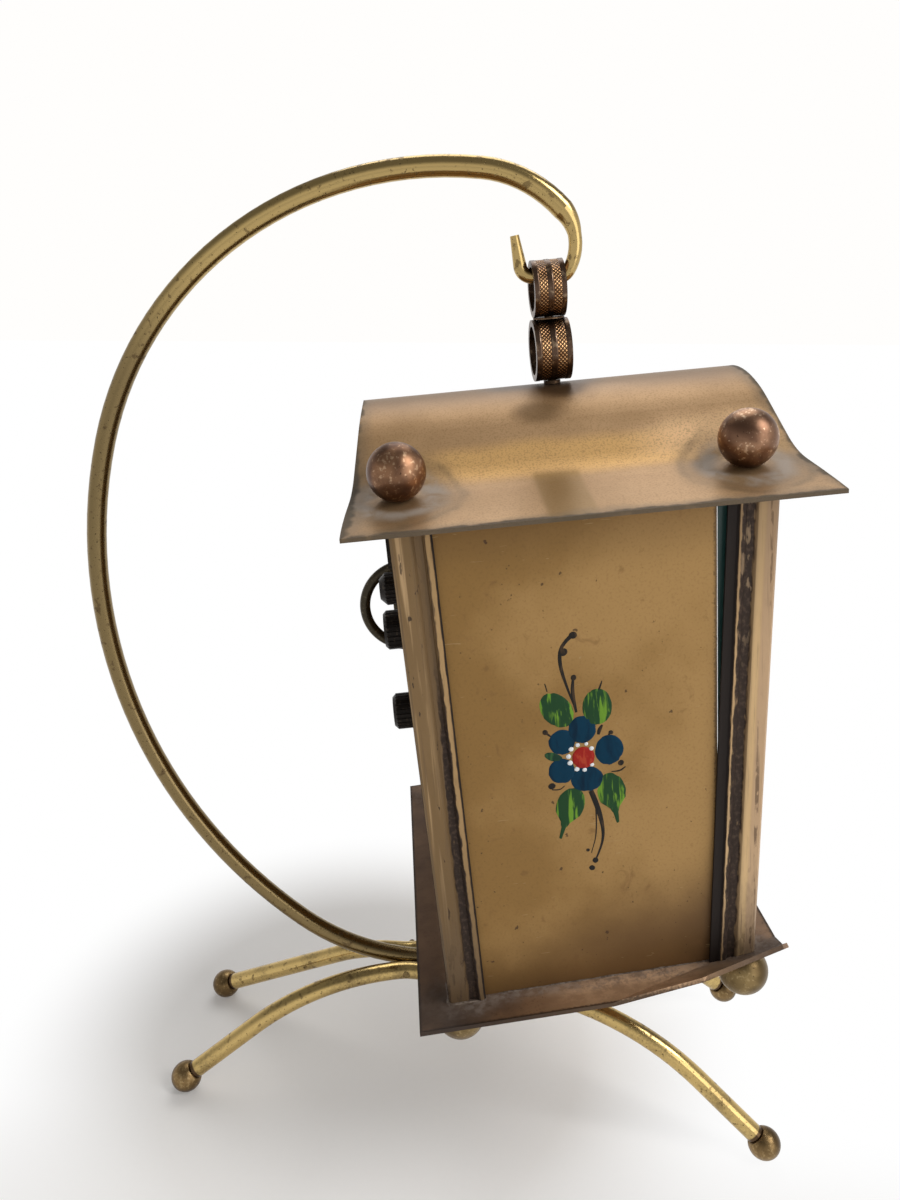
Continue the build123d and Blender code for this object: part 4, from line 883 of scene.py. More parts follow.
@dataclass(frozen=True)
class DrawnBrass(Finish):
    """Drawn brass of the stem and base rods, tarnished in patches and cleaner high on the stem.

    Args:
        feet: centres of the ball feet that it passes through, where the peened end is dark.
        dim: least share of the dull tone all over; on the stem it is partly tarnish and partly a painted dark
            reflection of the surroundings.
        bright: clean brass.
        dull: tarnished brass.
        spot: brown spots.
        pit: small dark pits.
        peened: the dark end.
        clean_z: heights between which the tarnish thins.
        peened_r: soft edge of the dark end, from a ball foot's centre.
    """

    feet: tuple[Point, ...] = ()
    dim: float = 0.0
    bright: Colour = (0.60, 0.43, 0.17)
    dull: Colour = (0.135, 0.098, 0.052)
    spot: Colour = (0.09, 0.055, 0.028)
    pit: Colour = (0.045, 0.03, 0.018)
    peened: Colour = (0.09, 0.055, 0.03)
    clean_z: tuple[float, float] = (190.0, 220.0)
    peened_r: tuple[float, float] = (4.9, 4.5)

    def describe(self, r: Recipe) -> None:
        """Build the nodes."""
        p = r.place(STAND)
        cloud = r.noise(p, 0.07, 4.0)
        grain = r.noise(p, 1.6, 4.0)
        # least share of the dull tone: partly tarnish, partly a painted dark reflection of the surroundings
        tarnish = (r.ramp(cloud + grain.swing(0.3), 0.44, 0.68) * 0.6).most(self.dim)
        tarnish = tarnish * (1.0 - r.ramp(r.split(p)[2], *self.clean_z) * 0.68)
        coat = Coat(r, r.mix(tarnish, self.bright, self.dull))
        spots = r.ramp(r.noise(p, 0.55, 5.0), 0.60, 0.68)
        coat.over(spots * 0.6, self.spot)
        pits = r.ramp(r.noise(p, 1.7, 3.0), 0.64, 0.70)
        coat.over(pits * 0.7, self.pit)
        for foot in self.feet:
            end = r.node("ShaderNodeVectorMath", {"operation": "DISTANCE"}, {0: p, 1: foot}, 1)
            coat.over(r.ramp(end, *self.peened_r), self.peened)
        rough = 0.16 + tarnish * 0.12 + spots * 0.15 + pits * 0.2
        r.finish(coat.colour, rough, 1.0, r.bump(grain * 0.008 - pits * 0.01))


@dataclass(frozen=True)
class TurnedBall(Finish):
    """Turned metal ball, patinated brown and rubbed bright in places.

    Args:
        axes: axes fixed to the ball's body.
        dark: the patina's darker tone.
        warm: its lighter tone.
        rubbed: rubbed metal.
        rub: share of the rubbed patches.
        pit: small dark pits.
    """

    axes: Axes = LANTERN
    dark: Colour = (0.11, 0.056, 0.035)
    warm: Colour = (0.30, 0.16, 0.088)
    rubbed: Colour = (0.78, 0.54, 0.34)
    rub: float = 0.5
    pit: Colour = (0.04, 0.024, 0.016)

    def describe(self, r: Recipe) -> None:
        """Build the nodes."""
        p = r.place(self.axes)
        cloud = r.noise(p, 0.16, 4.0, 0.4)
        grain = r.noise(p, 1.3, 5.0)
        turned = r.noise(r.stretch(p, (0.12, 0.12, 1.0)), 1.6, 3.0)
        coat = Coat(r, r.mix(r.ramp(cloud, 0.34, 0.66), self.dark, self.warm))
        coat.over(r.ramp(grain + cloud.swing(0.6), 0.56, 0.72) * self.rub, self.rubbed)
        pits = r.ramp(r.noise(p, 1.9, 3.0), 0.66, 0.73)
        coat.over(pits * 0.7, self.pit)
        height = turned * 0.006 + grain * 0.008 - pits * 0.02
        r.finish(coat.colour, 0.30 + cloud * 0.16 + pits * 0.2, 1.0, r.bump(height))


@dataclass(frozen=True)
class KnurledRing(Finish):
    """Band ring with two bands of diamond knurling between smooth beads.

    Args:
        axes: axes at the ring's centre, Y along its bore.
        half: half of the ring's width.
        bore: its bore's radius.
        bead: a bead's half width as a share of the ring's half width.
        around: knurls round the ring.
        pitch: knurl's length across the ring, in millimetres.
        tips: darker and lighter tone of the knurls' tips.
        groove: dark grooves between them.
        smooth: darker and lighter tone of the smooth beads.
    """

    axes: Axes = HANGER
    half: float = 3.5
    bore: float = 4.7
    bead: float = 0.125
    around: float = 44.0
    pitch: float = 0.84
    tips: tuple[Colour, Colour] = ((0.26, 0.135, 0.06), (0.58, 0.34, 0.16))
    groove: Colour = (0.055, 0.03, 0.019)
    smooth: tuple[Colour, Colour] = ((0.10, 0.062, 0.042), (0.30, 0.215, 0.14))

    def describe(self, r: Recipe) -> None:
        """Build the nodes."""
        p = r.place(self.axes)
        x, y, z = r.split(p)
        angle = x.maths("ARCTAN2", x, z) * (self.around / math.tau)
        rise = y * (1.0 / self.pitch)
        left, right = [abs((angle + rise * way).part() - 0.5) * 2.0 for way in (1.0, -1.0)]
        diamond = left.least(right)
        bead = self.half * self.bead
        band = r.ramp(abs(y), 1.3 * bead, 1.6 * bead)
        band = band * r.ramp(abs(y), self.half - 2.3 * bead, self.half - 2.6 * bead)
        knurl = band * r.ramp(r.span(x, z), self.bore + 0.4, self.bore + 0.9)
        cloud = r.noise(p, 0.3, 4.0)
        tips = r.mix(r.ramp(cloud, 0.35, 0.65), *self.tips)
        knurled = r.mix(r.ramp(diamond, 0.15, 0.55), self.groove, tips)
        smooth = r.mix(r.ramp(r.noise(p, 0.8, 5.0), 0.5, 0.72), *self.smooth)
        height = diamond * knurl * 0.12
        r.finish(r.mix(knurl, smooth, knurled), 0.26 + cloud * 0.12, 1.0, r.bump(height))


@dataclass(frozen=True)
class DarkHardware(Finish):
    """Near-black oxidised steel and bronze of the back controls.

    Args:
        colour: the oxide.
        rubbed: metal that shows through it.
        roughness: mean roughness.
    """

    colour: Colour = (0.016, 0.013, 0.011)
    rubbed: Colour = (0.09, 0.068, 0.048)
    roughness: float = 0.42

    def describe(self, r: Recipe) -> None:
        """Build the nodes."""
        p = r.place(LANTERN)
        grain = r.noise(p, 1.3, 5.0)
        cloud = r.noise(p, 0.25, 3.0)
        colour = r.mix(r.ramp(grain, 0.55, 0.75) * 0.7, self.colour, self.rubbed)
        r.finish(colour, self.roughness + cloud * 0.15 - 0.08, 0.8, r.bump(grain * 0.02))


@dataclass(frozen=True)
class CutMetal(Finish):
    """Machined metal inside the case, brushed along one way.

    Args:
        colour: bare metal.
        shade: its darker streaks.
        along: stretch of the brushing.
    """

    colour: Colour = (0.62, 0.47, 0.20)
    shade: Colour = (0.40, 0.27, 0.10)
    along: Point = (2.0, 2.0, 0.15)

    def describe(self, r: Recipe) -> None:
        """Build the nodes."""
        p = r.place(LANTERN)
        lines = r.noise(r.stretch(p, self.along), 2.0, 3.0)
        cloud = r.noise(p, 0.12, 4.0)
        colour = r.mix(lines * 0.6 + cloud * 0.3, self.colour, self.shade)
        r.finish(colour, 0.24 + lines * 0.14, 1.0, r.bump(lines * 0.008))


@dataclass(frozen=True)
class AgedPaint(Finish):
    """Opaque paint with brush marks, a second tone and hairline ageing.

    Args:
        colour: main tone.
        shade: second tone.
        blend: edges of the noise that mixes them.
        scale: size of the brush marks.
        stroke: stretch of the brush marks.
        gloss: roughness.
        shine: strength of the reflection.
        soil: fine dark specks.
    """

    colour: Colour = (0.72, 0.66, 0.52)
    shade: Colour = (0.60, 0.52, 0.37)
    blend: tuple[float, float] = (0.4, 0.7)
    scale: float = 0.3
    stroke: Point = (1.0, 1.0, 0.35)
    gloss: float = 0.35
    shine: float = 0.15
    soil: Colour = (0.03, 0.02, 0.01)

    def describe(self, r: Recipe) -> None:
        """Build the nodes."""
        p = r.place(LANTERN)
        marks = r.noise(r.stretch(p, self.stroke), self.scale, 5.0, 0.5)
        grain = r.noise(p, 2.5, 3.0)
        colour = r.mix(r.ramp(marks, *self.blend), self.colour, self.shade)
        colour = r.mix(r.ramp(grain, 0.6, 0.75) * 0.12, colour, self.soil)
        r.finish(colour, self.gloss + grain * 0.1, 0.0, r.bump(marks * 0.06 + grain * 0.01))
        r.fixed("Specular IOR Level", self.shine)


@dataclass(frozen=True)
class ClearGlass(Finish):
    """Old clear window glass whose ground edges look dark teal.

    Args:
        half_x: half of the pane's width.
        clear: tint of the clear glass.
        index: how strongly it bends light.
        teal: the ground edge near the top.
        deep: the ground edge near the foot.
        pale: its lighter streaks.
    """

    half_x: float = 45.0
    clear: Colour = (0.975, 0.99, 0.98)
    index: float = 1.5
    teal: Colour = (0.013, 0.050, 0.045)
    deep: Colour = (0.008, 0.03, 0.028)
    pale: Colour = (0.022, 0.078, 0.068)

    def describe(self, r: Recipe) -> None:
        """Build the nodes."""
        p = r.place(LANTERN)
        x, _, z = r.split(p)
        dust = r.ramp(r.noise(p, 0.5, 5.0), 0.6, 0.8)
        r.finish(self.clear, 0.03 + dust * 0.08, 0.0, r.bump(r.noise(p, 0.02, 1.0) * 0.05))
        r.fixed("Transmission Weight", 1.0)
        r.fixed("IOR", self.index)
        streaks = r.ramp(r.noise(r.stretch(p, (1.0, 1.0, 0.15)), 0.5, 4.0), 0.35, 0.7)
        shade = r.mix(r.ramp(z, -20.0, -110.0), self.teal, self.deep)
        tint = r.mix(streaks * 0.6, shade, self.pale)
        looks = {"Base Color": tint, "Roughness": streaks * 0.2 + 0.3}
        ground = r.node("ShaderNodeBsdfPrincipled", inputs=looks)
        rim = r.ramp(abs(x), self.half_x - 0.35, self.half_x - 0.1)
        r.blend(rim, ground)


@dataclass(frozen=True)
class SolderCrust(Finish):
    """Grey-white flux and solder along the foot of the panels and posts.

    Args:
        grey: the crust's darker tone.
        white: its lighter tone.
    """

    grey: Colour = (0.09, 0.062, 0.045)
    white: Colour = (0.20, 0.155, 0.12)

    def describe(self, r: Recipe) -> None:
        """Build the nodes."""
        lumps = r.noise(r.place(LANTERN), 0.9, 6.0)
        colour = r.mix(r.ramp(lumps, 0.38, 0.66), self.grey, self.white)
        r.finish(colour, 0.45 + lumps * 0.2, 0.35, r.bump(lumps * 0.25))


# ---- modelling tools ---------------------------------------------------------------------------
class Bench:
    """Blender operations that shape a piece and put it into the clock."""

    @staticmethod
    def clear() -> None:
        """Deselect everything in object mode."""
        bpy.ops.object.select_all(action="DESELECT")

    @staticmethod
    def active() -> bpy.types.Object:
        """Return the object that was added last."""
        return bpy.context.view_layer.objects.active

    @staticmethod
    def choose(piece: bpy.types.Object, test: object) -> None:
        """Select a mesh's vertices by their place and stay in edit mode.

        Args:
            piece: the mesh object, in edit mode.
            test: takes a vertex's place in metres and says whether to select it.
        """
        bpy.ops.mesh.select_mode(type="VERT")
        bpy.ops.mesh.select_all(action="DESELECT")
        bpy.ops.object.mode_set(mode="OBJECT")
        for vertex in piece.data.vertices:
            vertex.select = test(vertex.co)
        bpy.ops.object.mode_set(mode="EDIT")

    @staticmethod
    def join(pieces: list[bpy.types.Object], name: str) -> bpy.types.Object:
        """Join several objects into one.

        Args:
            pieces: the objects.
            name: the name of the joined object.

        Returns:
            The joined object.
        """
        Bench.clear()
        for piece in pieces:
            piece.select_set(True)
        bpy.context.view_layer.objects.active = pieces[0]
        if len(pieces) > 1:
            bpy.ops.object.join()
        pieces[0].name = name
        return pieces[0]

    @staticmethod
    def bake_place(piece: bpy.types.Object, place: Matrix) -> None:
        """Move a piece and put its place into its mesh.

        Args:
            piece: the mesh object.
            place: how it is moved.
        """
        Bench.clear()
        piece.select_set(True)
        bpy.context.view_layer.objects.active = piece
        piece.matrix_world = place @ piece.matrix_world
        bpy.ops.object.transform_apply(location=True, rotation=True, scale=True)

    @staticmethod
    def install(
        piece: bpy.types.Object, place: Matrix, body: str, slot: str, material: bpy.types.Material
    ) -> None:
        """Put a finished piece into the clock.

        Args:
            piece: the piece, modelled in metres in its own axes.
            place: from those axes to the shared frame.
            body: the body that it rides on.
            slot: the record's material slot; not used.
            material: its finish.
        """
        Bench.bake_place(piece, place)
        piece.data.materials.clear()
        piece.data.materials.append(material)
        bpy.ops.object.shade_smooth_by_angle(angle=math.radians(35))
        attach(piece, body)
        log.info("%s: %d faces on %s", piece.name, len(piece.data.polygons), body)

    @staticmethod
    def squash(flat: float) -> None:
        """Flatten the active mesh along Z.

        Args:
            flat: its new height as a share of the old one.
        """
        bpy.ops.object.mode_set(mode="EDIT")
        bpy.ops.mesh.select_all(action="SELECT")
        bpy.ops.transform.resize(value=(1, 1, flat), center_override=(0, 0, 0))

    @staticmethod
    def hoop(radius: float, half: float, flat: float, facets: tuple[int, int]) -> bpy.types.Object:
        """Make one flattened ring on the XY plane.

        Args:
            radius: its middle radius, in millimetres.
            half: half of its band's width.
            flat: its height as a share of its width.
            facets: how many round the ring, then round its band.

        Returns:
            The ring as a mesh.
        """
        Bench.clear()
        around, across = facets
        sizes = {"major_radius": radius * MM, "minor_radius": half * MM, "location": (0, 0, 0)}
        bpy.ops.mesh.primitive_torus_add(major_segments=around, minor_segments=across, **sizes)
        Bench.squash(flat)
        bpy.ops.object.mode_set(mode="OBJECT")
        return Bench.active()

    @staticmethod
    def stroke(points: list[Point], height: float) -> bpy.types.Object:
        """Make one raised brush stroke on the XY plane.

        Args:
            points: X, Y and half width along the stroke, in millimetres.
            height: how far it stands up, in millimetres.

        Returns:
            The stroke as a mesh.
        """
        Bench.clear()
        bpy.ops.curve.primitive_nurbs_path_add(location=(0, 0, 0))
        path = Bench.active()
        spline = path.data.splines[0]
        while len(spline.points) < len(points):
            spline.points.add(1)
        shown = points + [points[-1]] * (len(spline.points) - len(points))
        for knot, (x, y, half) in zip(spline.points, shown):
            knot.co = (x * MM, y * MM, 0.0, 1.0)
            knot.radius = half
        spline.order_u = 3
        spline.use_endpoint_u = True
        spline.resolution_u = 5
        path.data.bevel_depth = MM
        path.data.bevel_resolution = 2
        path.data.use_fill_caps = True
        bpy.ops.object.convert(target="MESH")
        piece = Bench.active()
        widest = max(half for _, _, half in points)
        Bench.squash(height / widest)
        bpy.ops.mesh.remove_doubles(threshold=0.000004)
        bpy.ops.object.mode_set(mode="OBJECT")
        return piece

    @staticmethod
    def dab(
        x: float,
        y: float,
        half: tuple[float, float],
        height: float,
        turn: float = 0.0,
        tip: float = 0.0,
        seed: int = 1,
    ) -> bpy.types.Object:
        """Make one raised dab of paint on the XY plane.

        Args:
            x: its middle.
            y: its middle.
            half: half length along its own axis and half width across it, in millimetres.
            height: how far it stands up.
            turn: degrees from X to its own axis.
            tip: how far its end is drawn out beyond the half length.
            seed: picks its uneven outline.

        Returns:
            The dab as a mesh.
        """
        Bench.clear()
        rim = 28 if half[0] > 1.0 else 14
        bpy.ops.mesh.primitive_circle_add(vertices=rim, radius=MM, fill_type="NGON", location=(0, 0, 0))
        piece = Bench.active()
        bpy.ops.object.mode_set(mode="EDIT")
        bpy.ops.mesh.select_all(action="SELECT")
        bpy.ops.transform.resize(value=(half[0], half[1], 1), center_override=(0, 0, 0))
        if tip:
            Bench.choose(piece, lambda co: co.x > 0.55 * half[0] * MM)
            bpy.ops.transform.resize(value=(1, 0.42, 1), center_override=(0, 0, 0))
            bpy.ops.transform.translate(value=(0.35 * tip * MM, 0, 0))
            Bench.choose(piece, lambda co: co.x > (0.93 * half[0] + 0.35 * tip) * MM)
            bpy.ops.transform.translate(value=(0.65 * tip * MM, 0, 0))
            bpy.ops.mesh.select_all(action="SELECT")
        bpy.ops.transform.vertex_random(offset=0.035 * half[1] * MM, uniform=0.0, normal=0.0, seed=seed)
        for rise, shrink in ((0.55, 0.95), (0.30, 0.85), (0.15, 0.6)):
            bpy.ops.mesh.extrude_region_move(TRANSFORM_OT_translate={"value": (0, 0, rise * height * MM)})
            bpy.ops.transform.resize(value=(shrink, shrink, 1))
        bpy.ops.object.mode_set(mode="OBJECT")
        spin = Matrix.Rotation(math.radians(turn), 4, "Z")
        Bench.bake_place(piece, Matrix.Translation((x * MM, y * MM, 0)) @ spin)
        return piece


def dress(names: list[str], material: bpy.types.Material) -> None:
    """Give some CAD nodes a finish.

    Args:
        names: the nodes.
        material: the finish.
    """
    for name in names:
        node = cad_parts[name]
        for holder in node.material_slots:
            holder.material = material


class Side(Enum):
    """The two side panels, by the sign of their place along X."""

    NEAR = -1
    FAR = 1

    def board(self, middle_y: float, middle_z: float) -> Matrix:
        """Return axes on the panel's outer face: X to the viewer's right, Y up, Z outwards.

        Args:
            middle_y: the origin's place along the lantern's Y, in millimetres.
            middle_z: the origin's place along the lantern's Z.

        Returns:
            The matrix from those axes to the shared frame.
        """
        s = self.value
        columns = ((0, s, 0), (0, 0, 1), (s, 0, 0))
        turn = Matrix(columns).transposed().to_4x4()
        place = Matrix.Translation((s * PANEL_X * MM, middle_y * MM, middle_z * MM))
        return LANTERN.matrix() @ place @ turn


# ---- painted flower ----------------------------------------------------------------------------
@dataclass
class FolkFlower:
    """Folk-painted flower on a side panel: petals, leaves, scrolls and a ring of dots.

    Args:
        middle_y: the flower's middle along the lantern's Y.
        middle_z: the flower's middle along the lantern's Z.
        petals: X, Y, half width and half height of each.
        eye: its half width and half height.
        seeds: X, Y and radius of each dot round the eye.
        leaves: X, Y, half length, half width, turn and drawn-out tip of each.
        scrolls: X, Y and half width along each stroke.
        knobs: X, Y and radius of each scroll's round end.
        bud: X, Y, half length, half width and turn.
        heights: how far each part stands up from the panel.
    """

    middle_y: float = 4.5
    middle_z: float = -71.1
    petals: tuple[Row, ...] = (
        (0.0, 6.4, 2.85, 3.1), (5.4, 1.2, 3.0, 3.4), (0.55, -5.0, 3.4, 2.95), (-4.65, -2.6, 2.75, 2.9),
        (-4.3, 4.0, 2.75, 2.85),
    )
    eye: tuple[float, float] = (2.35, 2.5)
    seeds: tuple[Row, ...] = (
        (-2.5, 2.25, 0.55), (-1.1, 3.0, 0.48), (0.7, 3.1, 0.42), (1.75, 1.95, 0.5), (-3.1, 0.6, 0.55),
        (-2.85, -0.9, 0.6), (-1.5, -2.5, 0.55), (0.1, -2.8, 0.5), (1.7, -1.8, 0.45),
    )
    leaves: tuple[Row, ...] = (
        (-5.0, 11.3, 4.3, 3.0, -57.0, 0.0), (3.3, 11.1, 4.1, 3.05, 88.0, 0.0),
        (-3.3, -11.0, 4.4, 3.0, -108.0, 3.6), (5.6, -8.6, 4.5, 3.0, -82.0, 3.2),
    )
    scrolls: tuple[tuple[Point, ...], ...] = (
        ((-0.9, 10.4, 0.14), (-2.6, 15.8, 0.26), (-4.0, 21.6, 0.42), (-3.4, 25.6, 0.34), (-0.9, 27.3, 0.45)),
        ((-1.0, 10.4, 0.26), (-1.7, 14.4, 0.46), (-1.3, 18.0, 0.26)),
        ((-7.1, 17.4, 0.10), (-6.9, 16.6, 0.14), (-6.7, 15.6, 0.10)),
        ((4.5, 16.8, 0.10), (4.2, 15.9, 0.2), (3.8, 14.9, 0.2)),
        ((-7.6, 6.6, 0.3), (-7.0, 6.0, 0.25), (-6.4, 5.4, 0.12)),
        ((5.9, 5.1, 0.3), (5.6, 4.8, 0.25), (5.2, 4.3, 0.12)),
        ((4.2, 7.0, 0.2), (3.6, 6.2, 0.5), (3.3, 4.9, 0.3)),
        ((-6.9, -6.7, 0.14), (-5.4, -7.1, 0.14), (-4.2, -6.1, 0.10)),
        ((5.7, -3.9, 0.12), (7.3, -4.1, 0.22), (8.7, -3.1, 0.14)),
        ((1.2, -7.9, 0.55), (2.5, -11.7, 0.62), (3.6, -17.6, 0.36), (3.0, -21.6, 0.24), (1.5, -24.8, 0.2)),
        ((2.1, -12.4, 0.16), (2.2, -18.0, 0.15), (0.7, -22.9, 0.09)),
    )
    knobs: tuple[Row, ...] = (
        (-0.9, 27.2, 0.85), (-3.0, 23.8, 0.9), (-1.2, 18.1, 0.65), (-7.6, 6.6, 0.62), (5.9, 5.1, 0.52),
        (-6.9, -5.9, 0.8), (7.75, -2.1, 0.68), (1.5, -24.8, 0.7), (0.7, -26.6, 0.68), (0.0, -22.1, 0.42),
    )

    bud: Row = (-6.2, 0.8, 2.0, 0.95, -24.0)
    heights: dict[str, float] = field(default_factory=lambda: {
        "scroll": 0.07, "bud": 0.09, "knob": 0.10, "leaf": 0.11, "petal": 0.14, "eye": 0.20, "seed": 0.26,
    })

    def paint(self) -> dict[str, list[bpy.types.Object]]:
        """Return the dabs and strokes of each part, in the plane of the panel."""
        dab, high = Bench.dab, self.heights
        scrolls = [Bench.stroke(list(points), high["scroll"]) for points in self.scrolls]
        for i, (x, y, r) in enumerate(self.knobs):
            scrolls.append(dab(x, y, (r, 0.9 * r), high["knob"], 40.0 * i, seed=i))
        x, y, a, b, turn = self.bud
        parts = {"scrolls": scrolls, "buds": [dab(x, y, (a, b), high["bud"], turn, seed=3)]}
        parts["leaves"] = [
            dab(x, y, (a, b), high["leaf"], turn, tip, 7 + i)
            for i, (x, y, a, b, turn, tip) in enumerate(self.leaves)
        ]
        parts["petals"] = [
            dab(x, y, (a, b), high["petal"], seed=20 + i) for i, (x, y, a, b) in enumerate(self.petals)
        ]
        parts["eye"] = [dab(0.0, 0.0, self.eye, high["eye"], seed=31)]
        parts["seeds"] = [
            dab(x, y, (r, 0.92 * r), high["seed"], seed=40 + i) for i, (x, y, r) in enumerate(self.seeds)
        ]
        return parts

    def build(self) -> None:
        """Paint both panels, the second as a copy of the first."""
        painted = self.paint()
        finishes = self.finishes()
        for part, pieces in painted.items():
            first = Bench.join(pieces, f"flower_{part}_near")
            second = first.copy()
            second.data = first.data.copy()
            second.name = f"flower_{part}_far"
            bpy.context.scene.collection.objects.link(second)
            for side, piece in ((Side.NEAR, first), (Side.FAR, second)):
                place = side.board(self.middle_y, self.middle_z)
                Bench.install(piece, place, "lantern", "panel_gold", finishes[part])

    def finishes(self) -> dict[str, bpy.types.Material]:
        """Return the paint of each part of the flower."""
        stroke = (1.0, 1.6, 0.5)
        veins = (1.0, 2.2, 0.35)
        paints = {
            "scrolls": AgedPaint(
                "scroll_black", (0.014, 0.012, 0.010), (0.05, 0.03, 0.016), (0.5, 0.7), 0.5, stroke, 0.35
            ),
            "buds": AgedPaint(
                "bud_green", (0.008, 0.035, 0.020), (0.03, 0.09, 0.03), (0.5, 0.7), 0.5, stroke, 0.3
            ),
            "leaves": AgedPaint(
                "leaf_green", (0.012, 0.050, 0.016), (0.13, 0.27, 0.025), (0.50, 0.62), 0.4, veins, 0.3
            ),
            "petals": AgedPaint(
                "petal_blue", (0.003, 0.032, 0.064), (0.003, 0.016, 0.034), (0.45, 0.75), 0.35, stroke,
                0.36, 0.08,
            ),
            "eye": AgedPaint(
                "eye_red", (0.29, 0.012, 0.008), (0.38, 0.045, 0.02), (0.5, 0.7), 0.8, stroke, 0.3
            ),
            "seeds": AgedPaint(
                "seed_white", (0.70, 0.72, 0.74), (0.5, 0.52, 0.55), (0.55, 0.8), 1.0, stroke, 0.3
            ),
        }
        return {part: paint.make() for part, paint in paints.items()}


# ---- dial --------------------------------------------------------------------------------------
@dataclass
class DialPrint:
    """Raised black print on the dial: hour figures, minute track and the alarm ring.

    Args:
        face_y: the dial face's place along Y.
        centre_z: the hands' centre.
        alarm_drop: from there down to the alarm ring's centre.
        figure_r: radius of the hour figures' middles.
        figure_h: their height.
        track_r: middle of the minute track.
        track_half: half of its width.
        alarm_r: middle of the alarm ring's marks.
        alarm_inset: from there in to its figures.
        alarm_h: those figures' height.
        ink: how far the print stands up.
    """

    face_y: float = -18.5
    centre_z: float = -55.4
    alarm_drop: float = 21.8
    figure_r: float = 28.4
    figure_h: float = 6.2
    track_r: float = 33.8
    track_half: float = 1.1
    alarm_r: float = 8.6
    alarm_inset: float = 1.9
    alarm_h: float = 1.7
    ink: float = 0.06

    def board(self, drop: float = 0.0) -> Matrix:
        """Return axes on the dial: X to the reader's right, Y up, Z out of the face.

        Args:
            drop: from the hands' centre down to the axes' origin.
        """
        turn = Matrix.Rotation(math.radians(90), 4, "X")
        place = Matrix.Translation((0, self.face_y * MM, (self.centre_z - drop) * MM))
        return LANTERN.matrix() @ place @ turn

    def figure(self, text: str, x: float, y: float, height: float) -> bpy.types.Object:
        """Make one figure as a mesh.

        Args:
            text: the figure.
            x: its middle to the right of the dial's centre.
            y: its middle above it.
            height: its height, in millimetres.

        Returns:
            The figure.
        """
        Bench.clear()
        bpy.ops.object.text_add(location=(x * MM, y * MM, 0))
        piece = Bench.active()
        piece.data.body = text
        piece.data.size = 1.4 * height * MM
        piece.data.align_x = piece.data.align_y = "CENTER"
        piece.data.extrude = self.ink * MM
        piece.data.resolution_u = 3
        bpy.ops.object.convert(target="MESH")
        return Bench.active()

    def figures(self, hours: range, radius: float, height: float) -> list[bpy.types.Object]:
        """Make a circle of hour figures.

        Args:
            hours: which hours it shows.
            radius: of the figures' middles.
            height: the figures' height.

        Returns:
            The figures.
        """
        made = []
        for hour in hours:
            a = math.radians(30 * hour)
            made.append(self.figure(str(hour), radius * math.sin(a), radius * math.cos(a), height))
        return made

    def mark(self, length: float, width: float) -> bpy.types.Object:
        """Make one mark of a track at the centre.

        Args:
            length: along Y, in millimetres.
            width: along X.

        Returns:
            The mark.
        """
        Bench.clear()
        bpy.ops.mesh.primitive_plane_add(size=MM, location=(0, 0, 0))
        piece = Bench.active()
        bpy.ops.object.mode_set(mode="EDIT")
        bpy.ops.mesh.select_all(action="SELECT")
        bpy.ops.transform.resize(value=(width, length, 1), center_override=(0, 0, 0))
        bpy.ops.mesh.extrude_region_move(TRANSFORM_OT_translate={"value": (0, 0, self.ink * MM)})
        bpy.ops.transform.resize(value=(0.8, 0.97, 1))
        bpy.ops.object.mode_set(mode="OBJECT")
        return piece

    def ring(self, radius: float, half: float) -> bpy.types.Object:
        """Make one thin printed ring."""
        return Bench.hoop(radius, half, self.ink / half, (96, 6))

    def track(self, radius: float, counts: int, long: float, short: float) -> list[bpy.types.Object]:
        """Make a ring of marks, every fifth of them long.

        Args:
            radius: middle of the marks.
            counts: how many.
            long: length of every fifth mark.
            short: length of the others.

        Returns:
            The marks.
        """
        first = {True: self.mark(long, 0.75), False: self.mark(short, 0.32)}
        made = []
        for i in range(counts):
            model = first[i % 5 == 0]
            copy = model.copy()
            copy.data = model.data.copy()
            spin = Matrix.Rotation(-math.tau * i / counts, 4, "Z")
            copy.data.transform(spin @ Matrix.Translation((0, radius * MM, 0)))
            bpy.context.scene.collection.objects.link(copy)
            made.append(copy)
        for model in first.values():
            bpy.data.objects.remove(model)
        return made

    def build(self) -> None:
        """Print the dial."""
        even = (1, 1, 1)
        black = AgedPaint("dial_ink", (0.012, 0.011, 0.010), (0.03, 0.026, 0.02), (0.5, 0.8), 0.6, even, 0.4)
        ink = black.make()
        figures = self.figures(range(1, 13), self.figure_r, self.figure_h)
        Bench.install(Bench.join(figures, "dial_figures"), self.board(), "lantern", "dial_paint", ink)
        marks = self.track(self.track_r, 60, 1.9, 1.4)
        marks += [self.ring(self.track_r + side * self.track_half, 0.12) for side in (-1, 1)]
        Bench.install(Bench.join(marks, "minute_track"), self.board(), "lantern", "dial_paint", ink)
        alarm = self.figures(range(3, 13, 3), self.alarm_r - self.alarm_inset, self.alarm_h)
        alarm += self.track(self.alarm_r, 60, 1.0, 0.6)
        alarm.append(self.ring(self.alarm_r + 0.6, 0.1))
        place = self.board(self.alarm_drop)
        Bench.install(Bench.join(alarm, "alarm_track"), place, "lantern", "dial_paint", ink)


